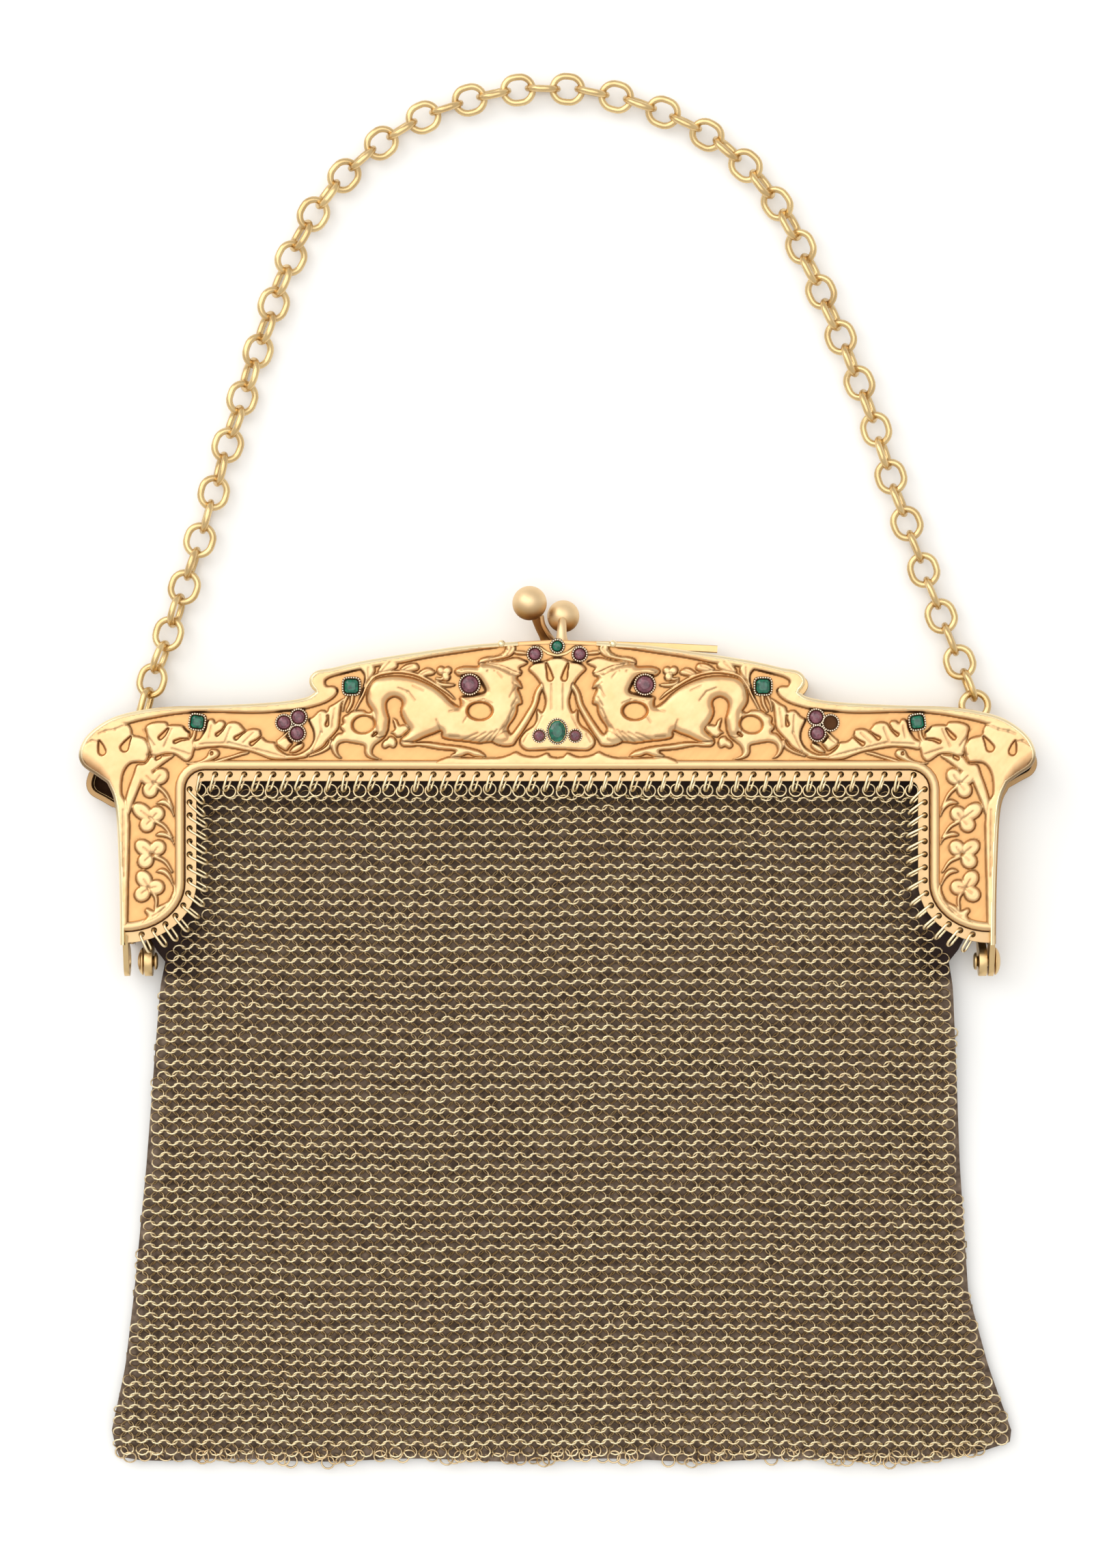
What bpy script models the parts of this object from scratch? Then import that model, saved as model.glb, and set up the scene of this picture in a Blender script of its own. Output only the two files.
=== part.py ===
"""A ring-mesh evening purse lying flat on its back.

It has a cast gold frame in two halves, a hollow mesh bag, a ball clasp, a link chain and cut stones.
Metres, +Z up from the table, +Y towards the chain. The origin is on the back half's flat back.
"""

import itertools
import math

import bmesh
import bpy
from mathutils import Matrix, Vector

MM = 0.001

# The frame seen from above
FRAME_HALF_WIDTH = 75.0 * MM  # middle to shoulder tip
BAND_HEIGHT = 22.2 * MM  # window top to crest
LEG_LENGTH = 25.7 * MM  # window top to leg end
LEG_WIDTH = 11.9 * MM
WINDOW_TOP_Y = -9.0 * MM
WINDOW_CORNER = 1.3 * MM
FOOT_REACH = 0.9  # how far short of the outer edge the foot ends, as a share of the skirt wall
FOOT_START = 0.62  # share of the leg where its inner edge starts to round into the foot
BACK_SHIFT_X = 0.7 * MM  # the back half sits a little to the right
BACK_DROP_CREST = 0.3 * MM
BACK_DROP_SHOULDER = 2.1 * MM

# The frame's walls and levels
FRAME_DEPTH = 9.0 * MM  # flat back to the front's ground
PLATE_THICKNESS = 1.0 * MM
SKIRT_WALL = 0.9 * MM
BACK_SKIRT_HEIGHT = 4.2 * MM
HALVES_GAP = 0.5 * MM
BORDER_RISE = 0.5 * MM
RIM_WIDTH = 1.45 * MM
RIM_RISE = 0.45 * MM
PLATE_INSET = 0.3  # how far the ground stops inside the outer edge, as a share of the skirt wall
PLATE_REACH = 0.4  # how far the ground reaches under the rim, as a share of the rim from the window
FLANGE_REACH = 0.7  # how far the flange reaches under it
FLANGE_WIDTH = 1.9 * MM
FLANGE_THICKNESS = 0.7 * MM
FLANGE_DROP = 0.7 * MM  # flange below the ground
RELIEF_RISE = 0.75 * MM
EDGE_STEP = 0.15 * MM  # keeps faces of joined pieces from lying in one plane
JOIN_DEPTH = 0.25 * MM  # how far a raised form reaches into its ground

# Sewing holes in the front flange
HOLE_RADIUS = 0.42 * MM
HOLE_SIDES = 4
HOLE_PITCH_TOP = 2.24 * MM
HOLE_PITCH_LEG = 1.95 * MM
HOLE_FROM_EDGE = 1.05 * MM

# Hinge ears and rivets
EAR_RADIUS = 2.3 * MM
EAR_ROOT = 1.5 * MM  # how far the tongue reaches up the leg
EAR_BELOW_LEG = 2.7 * MM  # leg end to rivet centre
FRONT_EAR_THICKNESS = 0.86 * MM
BACK_EAR_THICKNESS = 1.25 * MM
FRONT_EAR_INSET = {"left": 0.75 * MM, "right": 0.2 * MM}  # ear's middle from the leg's outer edge
BACK_EAR_INSET = {"left": 4.15 * MM, "right": 1.5 * MM}
RIVET_RADIUS = 0.8 * MM
RIVET_CLEARANCE = 0.3 * MM
RIVET_HEAD_RADIUS = 2.2 * MM
RIVET_HEAD_RISE = 0.75 * MM
RIVET_BURR = 0.4 * MM

# Kiss-lock clasp
BACK_BALL_RADIUS = 2.67 * MM
FRONT_BALL_RADIUS = 2.45 * MM
BACK_BALL_X = -4.3 * MM
BACK_BALL_ABOVE_CREST = 5.9 * MM
BACK_BALL_HEIGHT = 6.5 * MM
FRONT_BALL_X = 0.9 * MM
FRONT_BALL_ABOVE_CREST = 3.8 * MM
FRONT_BALL_HEIGHT = 4.5 * MM
BACK_STEM_X = -1.4 * MM
FRONT_STEM_X = 1.2 * MM
STEM_RADIUS = 0.65 * MM
STEM_COLLAR_RADIUS = 1.15 * MM
STEM_COLLAR_HEIGHT = 0.6 * MM
SEAT_GAP = 0.3 * MM

# Closing bar at the back half's crest
BAR_START_X = 1.0 * MM
BAR_END_X = 25.3 * MM
BAR_FALL = 0.75 * MM
BAR_THICKNESS = 0.5 * MM
BAR_TOP_GAP = 0.1 * MM
BAR_DEPTH = 1.8 * MM

# Stones and their collets
STONE_GAP = 0.06 * MM
COLLET_WALL = 0.32 * MM
COLLET_RISE = 0.9 * MM  # above the ground
STONE_FLOOR = 0.12 * MM
PAVILION_HEIGHT = 0.6 * MM
CROWN_HEIGHT = 0.55 * MM
PAVILION_SHARE = 0.72
TABLE_SHARE = 0.6

# The mesh bag
BAG_DEPTH = 107.5 * MM  # window top to hem
BAG_WALL = 1.0 * MM
BAG_CLEARANCE = 0.3 * MM
BAG_FRONT_HEIGHT = 6.4 * MM
BAG_CHAMFER = 0.5 * MM
BAG_CHAMFER_WIDTH = 2.5 * MM
BAG_COLUMNS = 8
BAG_INSET = 1.6 * MM
HEM_CORNER_RISE = 3.6 * MM

# The chain
LINK_LENGTH = 5.7 * MM
LINK_WIDTH = 5.1 * MM
LINK_WIRE = 0.95 * MM
LINK_SIDES = 10
WIRE_SIDES = 5
LINK_FUSE = 0.3 * MM  # how deep neighbouring links are fused
LEFT_BAIL_LENGTH = 5.8 * MM
LEFT_BAIL_WIDTH = 3.8 * MM
RIGHT_BAIL_SIZE = 5.15 * MM
BAIL_CLEARANCE = 0.2 * MM
LUG_RING_RADIUS = 1.15 * MM
LUG_WIRE = 0.8 * MM
LUG_HEIGHT = 2.6 * MM
LUG_SHARE = {"left": -0.877, "right": 0.888}  # of the frame's half width
BAIL_ROLL = {"left": 70.0, "right": 2.0}

# The chain's route over the table, from the left shoulder round to the right one: x and y, both as
# shares of the frame's half width
CHAIN_ROUTE = (
    (-0.803, 0.241),
    (-0.755, 0.385),
    (-0.712, 0.531),
    (-0.667, 0.680),
    (-0.620, 0.819),
    (-0.568, 0.968),
    (-0.504, 1.091),
    (-0.400, 1.203),
    (-0.269, 1.285),
    (-0.104, 1.335),
    (0.063, 1.335),
    (0.223, 1.291),
    (0.363, 1.209),
    (0.471, 1.088),
    (0.540, 0.948),
    (0.603, 0.804),
    (0.659, 0.663),
    (0.705, 0.516),
    (0.756, 0.371),
    (0.811, 0.225),
)
CHAIN_FIRST = (-0.855, 0.092)
CHAIN_LAST = (0.868, 0.083)
# How far the links lean out of the table's plane: share of the route, degrees
CHAIN_LEAN = ((0.0, -20.0), (0.2, 28.0), (0.5, 5.0), (0.7, 28.0), (1.0, 0.0))

# The front's outer edge: shares of the half width, and of the band's height above the window top
CREST_EDGE = ((0.0, 1.0), (0.11, 0.984), (0.23, 0.942), (0.36, 0.877), (0.487, 0.786))
NOSE_EDGE = ((0.515, 0.745), (0.518, 0.680))
SHOULDER_EDGE = (
    (0.507, 0.631),
    (0.536, 0.580),
    (0.640, 0.547),
    (0.807, 0.527),
    (0.875, 0.500),
    (0.935, 0.441),
    (0.981, 0.329),
    (1.0, 0.207),
    (0.985, 0.095),
    (0.943, -0.010),
)
# The leg's outer edge: shares of the half width, and of the leg's length below the window top
LEG_EDGE = ((0.925, 0.15), (0.9173, 0.47), (0.914, 1.0))
LEG_OUTER_SHARE = LEG_EDGE[-1][0]

# Stones: name, colour, cut, share of the half width, share of the band, length, width, turn in degrees
STONES = (
    ("crest", "green", "round", 0.0, 0.952, 1.45 * MM, 1.45 * MM, 0.0),
    ("centre", "green", "oval", 0.0, 0.351, 2.5 * MM, 3.2 * MM, 0.0),
    ("upper", "red", "round", 0.047, 0.896, 1.6 * MM, 1.6 * MM, 0.0),
    ("flank", "red", "round", 0.0375, 0.320, 1.45 * MM, 1.45 * MM, 0.0),
    ("mouth", "red", "round", 0.183, 0.682, 2.45 * MM, 2.45 * MM, 0.0),
    ("sprig", "green", "square", 0.430, 0.669, 2.05 * MM, 2.05 * MM, 0.0),
    ("shoulder", "green", "square", 0.752, 0.417, 1.75 * MM, 1.75 * MM, 8.0),
    ("berry_outer", "red", "round", 0.571, 0.412, 1.85 * MM, 1.85 * MM, 0.0),
    ("berry_upper", "red", "round", 0.5405, 0.452, 1.85 * MM, 1.85 * MM, 0.0),
    ("berry_lower", "red", "round", 0.5435, 0.338, 1.85 * MM, 1.85 * MM, 0.0),
)
EMPTY_SETTING = ("berry_outer", "right")
GEM_SIDES = 8

# Fan leaves: share of the half width, share of the band, length, turn in degrees, spread, lobes
FAN_LEAVES = (
    (0.905, 0.020, 8.6 * MM, 110.0, 80.0, 3),
    (0.775, 0.100, 7.2 * MM, 84.0, 90.0, 3),
    (0.335, 0.790, 3.0 * MM, 80.0, 100.0, 3),
)
# Leg sprigs: share of the leg's width from the window, share of the leg's length, turn in degrees
LEG_SPRIGS = ((0.60, 0.08, 125.0), (0.65, 0.29, 140.0), (0.63, 0.50, 130.0), (0.9, 0.69, 120.0))
SPRIG_LENGTH = 3.1 * MM
SPRIG_SPREAD = 250.0
# Swept forms: share of the half width, share of the band, half width of the form
WING_LEAF = (
    (0.735, 0.250, 0.5 * MM),
    (0.690, 0.270, 1.5 * MM),
    (0.640, 0.215, 1.9 * MM),
    (0.590, 0.150, 1.4 * MM),
    (0.540, 0.145, 0.6 * MM),
)
CURLED_LEAF = (
    (0.560, 0.120, 0.5 * MM),
    (0.510, 0.130, 1.1 * MM),
    (0.475, 0.230, 1.5 * MM),
    (0.455, 0.450, 0.8 * MM),
)
BEAST_BODY = (
    (0.405, 0.280, 0.6 * MM),
    (0.375, 0.520, 1.1 * MM),
    (0.330, 0.660, 2.0 * MM),
    (0.260, 0.560, 2.2 * MM),
    (0.195, 0.400, 2.5 * MM),
    (0.120, 0.420, 2.1 * MM),
    (0.085, 0.600, 1.8 * MM),
    (0.140, 0.790, 1.0 * MM),
)
BEAST_HIND_LEG = (
    (0.345, 0.500, 1.2 * MM),
    (0.330, 0.330, 0.9 * MM),
    (0.270, 0.220, 0.7 * MM),
    (0.190, 0.180, 0.5 * MM),
)
BEAST_TAIL = (
    (0.385, 0.200, 0.5 * MM),
    (0.430, 0.180, 0.9 * MM),
    (0.455, 0.300, 0.8 * MM),
    (0.430, 0.420, 0.5 * MM),
)
CENTRE_FAN = (0.0, 0.55, 8.0 * MM, 90.0, 95.0, 3)
CENTRE_BOWL = ((-0.045, 0.270, 0.6 * MM), (0.0, 0.205, 1.0 * MM), (0.045, 0.270, 0.6 * MM))

# The bag: share of its depth, left and right half widths as shares of the leg's outer edge, and
# height as a share of the front height
BAG_ROWS = (
    (0.045, 0.811, 0.822, 1.00),
    (0.145, 0.811, 0.822, 1.00),
    (0.187, 0.822, 0.832, 0.97),
    (0.215, 0.850, 0.860, 0.93),
    (0.245, 0.895, 0.895, 0.89),
    (0.300, 0.915, 0.912, 0.80),
    (0.420, 0.932, 0.922, 0.66),
    (0.560, 0.950, 0.930, 0.56),
    (0.750, 0.979, 0.950, 0.50),
    (0.860, 1.000, 0.998, 0.47),
    (0.955, 1.032, 1.052, 0.46),
    (1.000, 1.012, 1.040, 0.44),
)
SLIT_END_ROW = 6  # the sheets are joined at the sides from this row down

GOLD_PALE = (0.86, 0.66, 0.33, 1.0)
GOLD_CHAIN = (0.72, 0.50, 0.22, 1.0)
GOLD_MESH = (0.42, 0.33, 0.19, 1.0)
STONE_GREEN = (0.02, 0.30, 0.17, 1.0)
STONE_RED = (0.30, 0.04, 0.10, 1.0)

LEG_OUTER_X = LEG_OUTER_SHARE * FRAME_HALF_WIDTH
WINDOW_HALF_WIDTH = LEG_OUTER_X - LEG_WIDTH
LEG_END_Y = WINDOW_TOP_Y - LEG_LENGTH
HINGE_Y = LEG_END_Y - EAR_BELOW_LEG
HINGE_Z = BACK_SKIRT_HEIGHT + HALVES_GAP / 2
FRONT_SKIRT_Z = BACK_SKIRT_HEIGHT + HALVES_GAP


def clear_scene():
    for obj in list(bpy.data.objects):
        bpy.data.objects.remove(obj)


def new_group(name, parent):
    group = bpy.data.collections.new(name)
    parent.children.link(group)
    return group


def new_material(name, colour, roughness, metallic):
    material = bpy.data.materials.new(name)
    material.use_nodes = True
    shader = material.node_tree.nodes["Principled BSDF"]
    shader.inputs["Base Color"].default_value = colour
    shader.inputs["Roughness"].default_value = roughness
    shader.inputs["Metallic"].default_value = metallic
    return material


def add_object(name, mesh, group):
    obj = bpy.data.objects.new(name, mesh)
    group.objects.link(obj)
    return obj


def add_helper(name, mesh, group):
    """A solid that is joined to or cut from a piece, and isn't a piece itself."""
    helper = add_object(name, mesh, group)
    helper.hide_render = True
    helper.display_type = "WIRE"
    return helper


def finish_mesh(name, shape):
    bmesh.ops.recalc_face_normals(shape, faces=shape.faces)
    mesh = bpy.data.meshes.new(name)
    shape.to_mesh(mesh)
    shape.free()
    return mesh


def finish_piece(obj, material):
    obj.data.materials.append(material)
    obj.data.shade_smooth()
    obj.data.set_sharp_from_angle(angle=math.radians(35))
    return obj


def side_sign(side):
    return -1 if side == "left" else 1


def band_point(x_share, y_share):
    return Vector((x_share * FRAME_HALF_WIDTH, WINDOW_TOP_Y + y_share * BAND_HEIGHT))


def mirrored(points):
    return [Vector((-point.x, point.y)) for point in points]


def smooth_line(points, steps):
    """A smooth open line through the points, with this many steps between two of them."""
    ends = [points[0] * 2 - points[1], *points, points[-1] * 2 - points[-2]]
    line = []
    for before, start, end, after in zip(ends, ends[1:], ends[2:], ends[3:]):
        for step in range(steps):
            t = step / steps
            line.append(
                start
                + (end - before) * (t / 2)
                + (before * 2 - start * 5 + end * 4 - after) * (t * t / 2)
                + (start * 3 - before - end * 3 + after) * (t**3 / 2)
            )
    line.append(points[-1])
    return line


def offset_line(line, distance):
    """The line moved to its left by the distance."""
    moved = []
    for index, here in enumerate(line):
        before = line[max(index - 1, 0)]
        after = line[min(index + 1, len(line) - 1)]
        along = ((here - before).normalized() + (after - here).normalized()).normalized()
        moved.append(here + Vector((-along.y, along.x)) * distance)
    return moved


def spaced_points(line, count):
    """Points at even distances along the line, both ends among them."""
    lengths = [(b - a).length for a, b in zip(line, line[1:])]
    step = sum(lengths) / (count - 1)
    points = [line[0].copy()]
    travelled = 0.0
    for start, end, length in zip(line, line[1:], lengths):
        while len(points) < count - 1 and travelled + length >= step * len(points):
            share = (step * len(points) - travelled) / length
            points.append(start.lerp(end, share))
        travelled += length
    points.append(line[-1].copy())
    return points


def table_value(table, share):
    """Reads a two-column table between its rows."""
    for (low, first), (high, second) in zip(table, table[1:]):
        if share <= high:
            return first + (second - first) * (share - low) / (high - low)
    return table[-1][1]


def outer_edge(crest_drop, shoulder_drop):
    """The frame's outer edge from the left leg end over the crest to the right leg end."""
    crest = [band_point(*row) for row in CREST_EDGE]
    nose = [band_point(*row) for row in NOSE_EDGE]
    shoulder = [band_point(*row) for row in SHOULDER_EDGE]
    leg = [
        Vector((x_share * FRAME_HALF_WIDTH, WINDOW_TOP_Y - y_share * LEG_LENGTH))
        for x_share, y_share in LEG_EDGE
    ]
    half = crest + nose + shoulder
    for point in half:
        share = (point.x / FRAME_HALF_WIDTH) ** 2
        point.y -= crest_drop + shoulder_drop * share
    half += leg
    return mirrored(half[:0:-1]) + half


def window_edge():
    """The flange's free edge from the left leg end over the window top to the right leg end."""
    corner_x = WINDOW_HALF_WIDTH - WINDOW_CORNER
    corner_y = WINDOW_TOP_Y - WINDOW_CORNER
    foot_x = LEG_OUTER_X - SKIRT_WALL * FOOT_REACH
    foot_y = WINDOW_TOP_Y - FOOT_START * LEG_LENGTH
    foot_end_y = LEG_END_Y + 2 * EDGE_STEP
    half = [Vector((0.0, WINDOW_TOP_Y))]
    for degrees in (90, 60, 30, 0):
        angle = math.radians(degrees)
        reach = Vector((math.cos(angle), math.sin(angle))) * WINDOW_CORNER
        half.append(Vector((corner_x, corner_y)) + reach)
    for degrees in (0, 18, 36, 54, 72, 90):
        angle = math.radians(degrees)
        x = foot_x - math.cos(angle) * (foot_x - WINDOW_HALF_WIDTH)
        y = foot_y - math.sin(angle) * (foot_y - foot_end_y)
        half.append(Vector((x, y)))
    return mirrored(half[:0:-1]) + half


def mesh_from_curve(name, curve, group, matrix):
    """The curve's solid as a mesh, with its caps welded on."""
    guide = bpy.data.objects.new(name, curve)
    bpy.context.scene.collection.objects.link(guide)
    guide.matrix_world = matrix
    bpy.context.view_layer.update()
    graph = bpy.context.evaluated_depsgraph_get()
    mesh = bpy.data.meshes.new_from_object(guide.evaluated_get(graph))
    shape = bmesh.new()
    shape.from_mesh(mesh)
    bmesh.ops.remove_doubles(shape, verts=shape.verts, dist=1e-6)
    bmesh.ops.recalc_face_normals(shape, faces=shape.faces)
    shape.to_mesh(mesh)
    shape.free()
    solid = add_helper(name, mesh, group)
    solid.matrix_world = matrix
    bpy.data.objects.remove(guide)
    return solid


def prism(name, loops, low, high, group, matrix=None):
    """A flat plate with the first loop as its outline and the others as holes."""
    curve = bpy.data.curves.new(name, "CURVE")
    curve.dimensions = "2D"
    curve.fill_mode = "BOTH"
    curve.extrude = (high - low) / 2
    for loop in loops:
        spline = curve.splines.new("POLY")
        spline.points.add(len(loop) - 1)
        for point, place in zip(spline.points, loop):
            point.co = (place.x, place.y, 0.0, 1.0)
        spline.use_cyclic_u = True
    raise_it = Matrix.Translation((0.0, 0.0, (low + high) / 2))
    return mesh_from_curve(name, curve, group, (matrix or Matrix.Identity(4)) @ raise_it)


def strip(name, line, near, far, low, high, group, holes=()):
    """A band of even width along a line, between two distances to its left."""
    loop = offset_line(line, near) + offset_line(line, far)[::-1]
    return prism(name, [loop, *holes], low, high, group)


def raised_form(name, foot, top, low, high, group):
    """A raised form whose walls run from its foot outline to its smaller top outline."""
    shape = bmesh.new()
    lower = [shape.verts.new((point.x, point.y, low)) for point in foot]
    upper = [shape.verts.new((point.x, point.y, high)) for point in top]
    shape.faces.new(lower)
    shape.faces.new(upper[::-1])
    for index in range(len(lower)):
        after = (index + 1) % len(lower)
        shape.faces.new((lower[index], upper[index], upper[after], lower[after]))
    return add_helper(name, finish_mesh(name, shape), group)


def fan_outline(base, length, turn, spread, lobes, swell):
    """A fan of round lobes on a narrow neck."""
    steps = lobes * 2
    heading = math.radians(turn)
    centre = base + Vector((math.cos(heading), math.sin(heading))) * length * 0.55
    outline = []
    for side in (-1, 1):
        angle = heading + side * math.radians(90)
        neck = base + Vector((math.cos(angle), math.sin(angle))) * length * 0.09 * swell
        outline.append(neck)
    for step in range(steps + 1):
        share = step / steps
        angle = heading + math.radians(spread) * (0.5 - share)
        scallop = 0.80 + 0.20 * abs(math.sin(math.pi * lobes * share))
        reach = base + Vector((math.cos(angle), math.sin(angle))) * length * scallop
        outline.append(centre.lerp(reach, swell) if swell < 1 else reach)
    return outline


def swept_outline(stations, swell):
    """The outline of a form that follows its stations, each with its half width."""
    places = smooth_line([Vector((x, y, half)) for x, y, half in stations], 1)
    line = [Vector((place.x, place.y)) for place in places]
    left = []
    right = []
    for index, place in enumerate(places):
        before = line[max(index - 1, 0)]
        after = line[min(index + 1, len(line) - 1)]
        along = (after - before).normalized()
        side = Vector((-along.y, along.x)) * max(place.z, 0.2 * MM) * swell
        left.append(line[index] + side)
        right.append(line[index] - side)
    return left + right[::-1]


def ellipse_outline(centre, length, width, turn, sides, start=0.5):
    outline = []
    for index in range(sides):
        angle = 2 * math.pi * (index + start) / sides
        point = Vector((math.cos(angle) * length / 2, math.sin(angle) * width / 2))
        outline.append(centre + Matrix.Rotation(math.radians(turn), 2) @ point)
    return outline


def gem_outline(cut, centre, length, width, turn, grow):
    """A gem's girdle, eight-sided; a square cut has its corners taken off."""
    if cut != "square":
        return ellipse_outline(centre, length + 2 * grow, width + 2 * grow, turn, GEM_SIDES)
    half = length / 2 + grow
    clipped = half * 0.62
    corners = (
        (half, clipped),
        (clipped, half),
        (-clipped, half),
        (-half, clipped),
        (-half, -clipped),
        (-clipped, -half),
        (clipped, -half),
        (half, -clipped),
    )
    spin = Matrix.Rotation(math.radians(turn), 2)
    return [centre + spin @ Vector(corner) for corner in corners]


def stone_seats():
    """Each setting's name, side, row of the table and centre, on both sides of the middle."""
    seats = []
    for row in STONES:
        name, x_share, y_share = row[0], row[3], row[4]
        sides = ("middle",) if x_share == 0 else ("left", "right")
        for side in sides:
            centre = band_point(-x_share if side == "left" else x_share, y_share)
            seats.append((name, side, row, centre))
    return seats


def join_or_cut(obj, label, operation, group):
    boolean = obj.modifiers.new(label, "BOOLEAN")
    boolean.operation = operation
    boolean.solver = "EXACT"
    boolean.operand_type = "COLLECTION"
    boolean.collection = group
    return boolean


def ear(name, centre_x, thickness, facing_z, outer_z, group):
    """A hinge ear: a round eye in the YZ plane, with a tongue up to the leg end."""
    eye = Vector((HINGE_Y, HINGE_Z))
    facing_root = Vector((LEG_END_Y + EDGE_STEP, facing_z))
    outer_root = Vector((LEG_END_Y + EAR_ROOT, outer_z))
    roots = sorted((facing_root, outer_root), key=lambda root: root.y)
    tangents = []
    for root, sign in zip(roots, (-1, 1)):
        reach = root - eye
        spread = math.acos(EAR_RADIUS / reach.length)
        tangents.append(math.atan2(reach.y, reach.x) + sign * spread)
    first = tangents[0] + 2 * math.pi
    steps = 8
    outline = []
    for step in range(steps + 1):
        angle = first + (tangents[1] - first) * step / steps
        outline.append(eye + Vector((math.cos(angle), math.sin(angle))) * EAR_RADIUS)
    outline += [roots[1], roots[0]]
    hole = ellipse_outline(
        eye, 2 * (RIVET_RADIUS + RIVET_CLEARANCE), 2 * (RIVET_RADIUS + RIVET_CLEARANCE), 0.0, 8
    )
    upright = Matrix(((0, 0, 1, centre_x), (1, 0, 0, 0), (0, 1, 0, 0), (0, 0, 0, 1)))
    return prism(name, [outline, hole], -thickness / 2, thickness / 2, group, upright)


def flange_holes(line):
    """The sewing holes: one row along the window top and one down each leg."""
    hole_line = offset_line(line, HOLE_FROM_EDGE)
    top = [point for point in hole_line if point.y > WINDOW_TOP_Y]
    left_leg = hole_line[: hole_line.index(top[0])]
    right_leg = hole_line[hole_line.index(top[-1]) + 1 :]
    top_count = round((top[-1] - top[0]).length / HOLE_PITCH_TOP) + 1
    centres = spaced_points(top, top_count)
    for leg in (left_leg[1:], right_leg[:-1]):
        length = sum((b - a).length for a, b in zip(leg, leg[1:]))
        centres += spaced_points(leg, round(length / HOLE_PITCH_LEG) + 1)
    size = 2 * HOLE_RADIUS
    return [ellipse_outline(centre, size, size, 0.0, HOLE_SIDES) for centre in centres]


def relief_levels():
    """Endless bottoms and tops for raised forms, no two neighbours of them level with each other."""
    steps = [EDGE_STEP * index / 7 for index in (0, 4, 1, 5, 2, 6, 3)]
    lows = itertools.cycle([FRAME_DEPTH - JOIN_DEPTH - step for step in steps])
    highs = itertools.cycle([FRAME_DEPTH + RELIEF_RISE + step for step in steps])
    return lows, highs


def add_relief(group):
    """The cast foliage and the confronted beasts, raised from the front's ground."""
    lows, highs = relief_levels()
    fans = [(side, row) for side in (-1, 1) for row in FAN_LEAVES]
    fans.append((1, CENTRE_FAN))
    for number, (side, row) in enumerate(fans):
        x_share, y_share, length, turn, spread, lobes = row
        base = band_point(side * x_share, y_share)
        turn = turn if side > 0 else 180.0 - turn
        foot = fan_outline(base, length, turn, spread, lobes, 1.0)
        top = fan_outline(base, length, turn, spread, lobes, 0.78)
        raised_form(f"fan_{number}", foot, top, next(lows), next(highs), group)
    for side in (-1, 1):
        for number, (across, down, turn) in enumerate(LEG_SPRIGS):
            base = Vector(
                (
                    side * (WINDOW_HALF_WIDTH + FLANGE_WIDTH + RIM_WIDTH * across),
                    WINDOW_TOP_Y - down * LEG_LENGTH - SPRIG_LENGTH / 2,
                )
            )
            base.x += side * SPRIG_LENGTH * 0.9
            turn = 180.0 - turn if side > 0 else turn
            foot = fan_outline(base, SPRIG_LENGTH, turn, SPRIG_SPREAD, 3, 1.0)
            top = fan_outline(base, SPRIG_LENGTH, turn, SPRIG_SPREAD, 3, 0.78)
            raised_form(f"leg_sprig_{side}_{number}", foot, top, next(lows), next(highs), group)
    forms = {
        "wing_leaf": WING_LEAF,
        "curled_leaf": CURLED_LEAF,
        "beast_body": BEAST_BODY,
        "beast_hind_leg": BEAST_HIND_LEG,
        "beast_tail": BEAST_TAIL,
    }
    swept = [(f"{name}_{side}", side, form) for side in (-1, 1) for name, form in forms.items()]
    swept.append(("centre_bowl", 1, CENTRE_BOWL))
    for name, side, form in swept:
        stations = []
        for x_share, y_share, half in form:
            place = band_point(side * x_share, y_share)
            stations.append((place.x, place.y, half))
        foot = swept_outline(stations, 1.0)
        top = swept_outline(stations, 0.5)
        raised_form(name, foot, top, next(lows), next(highs), group)


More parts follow.
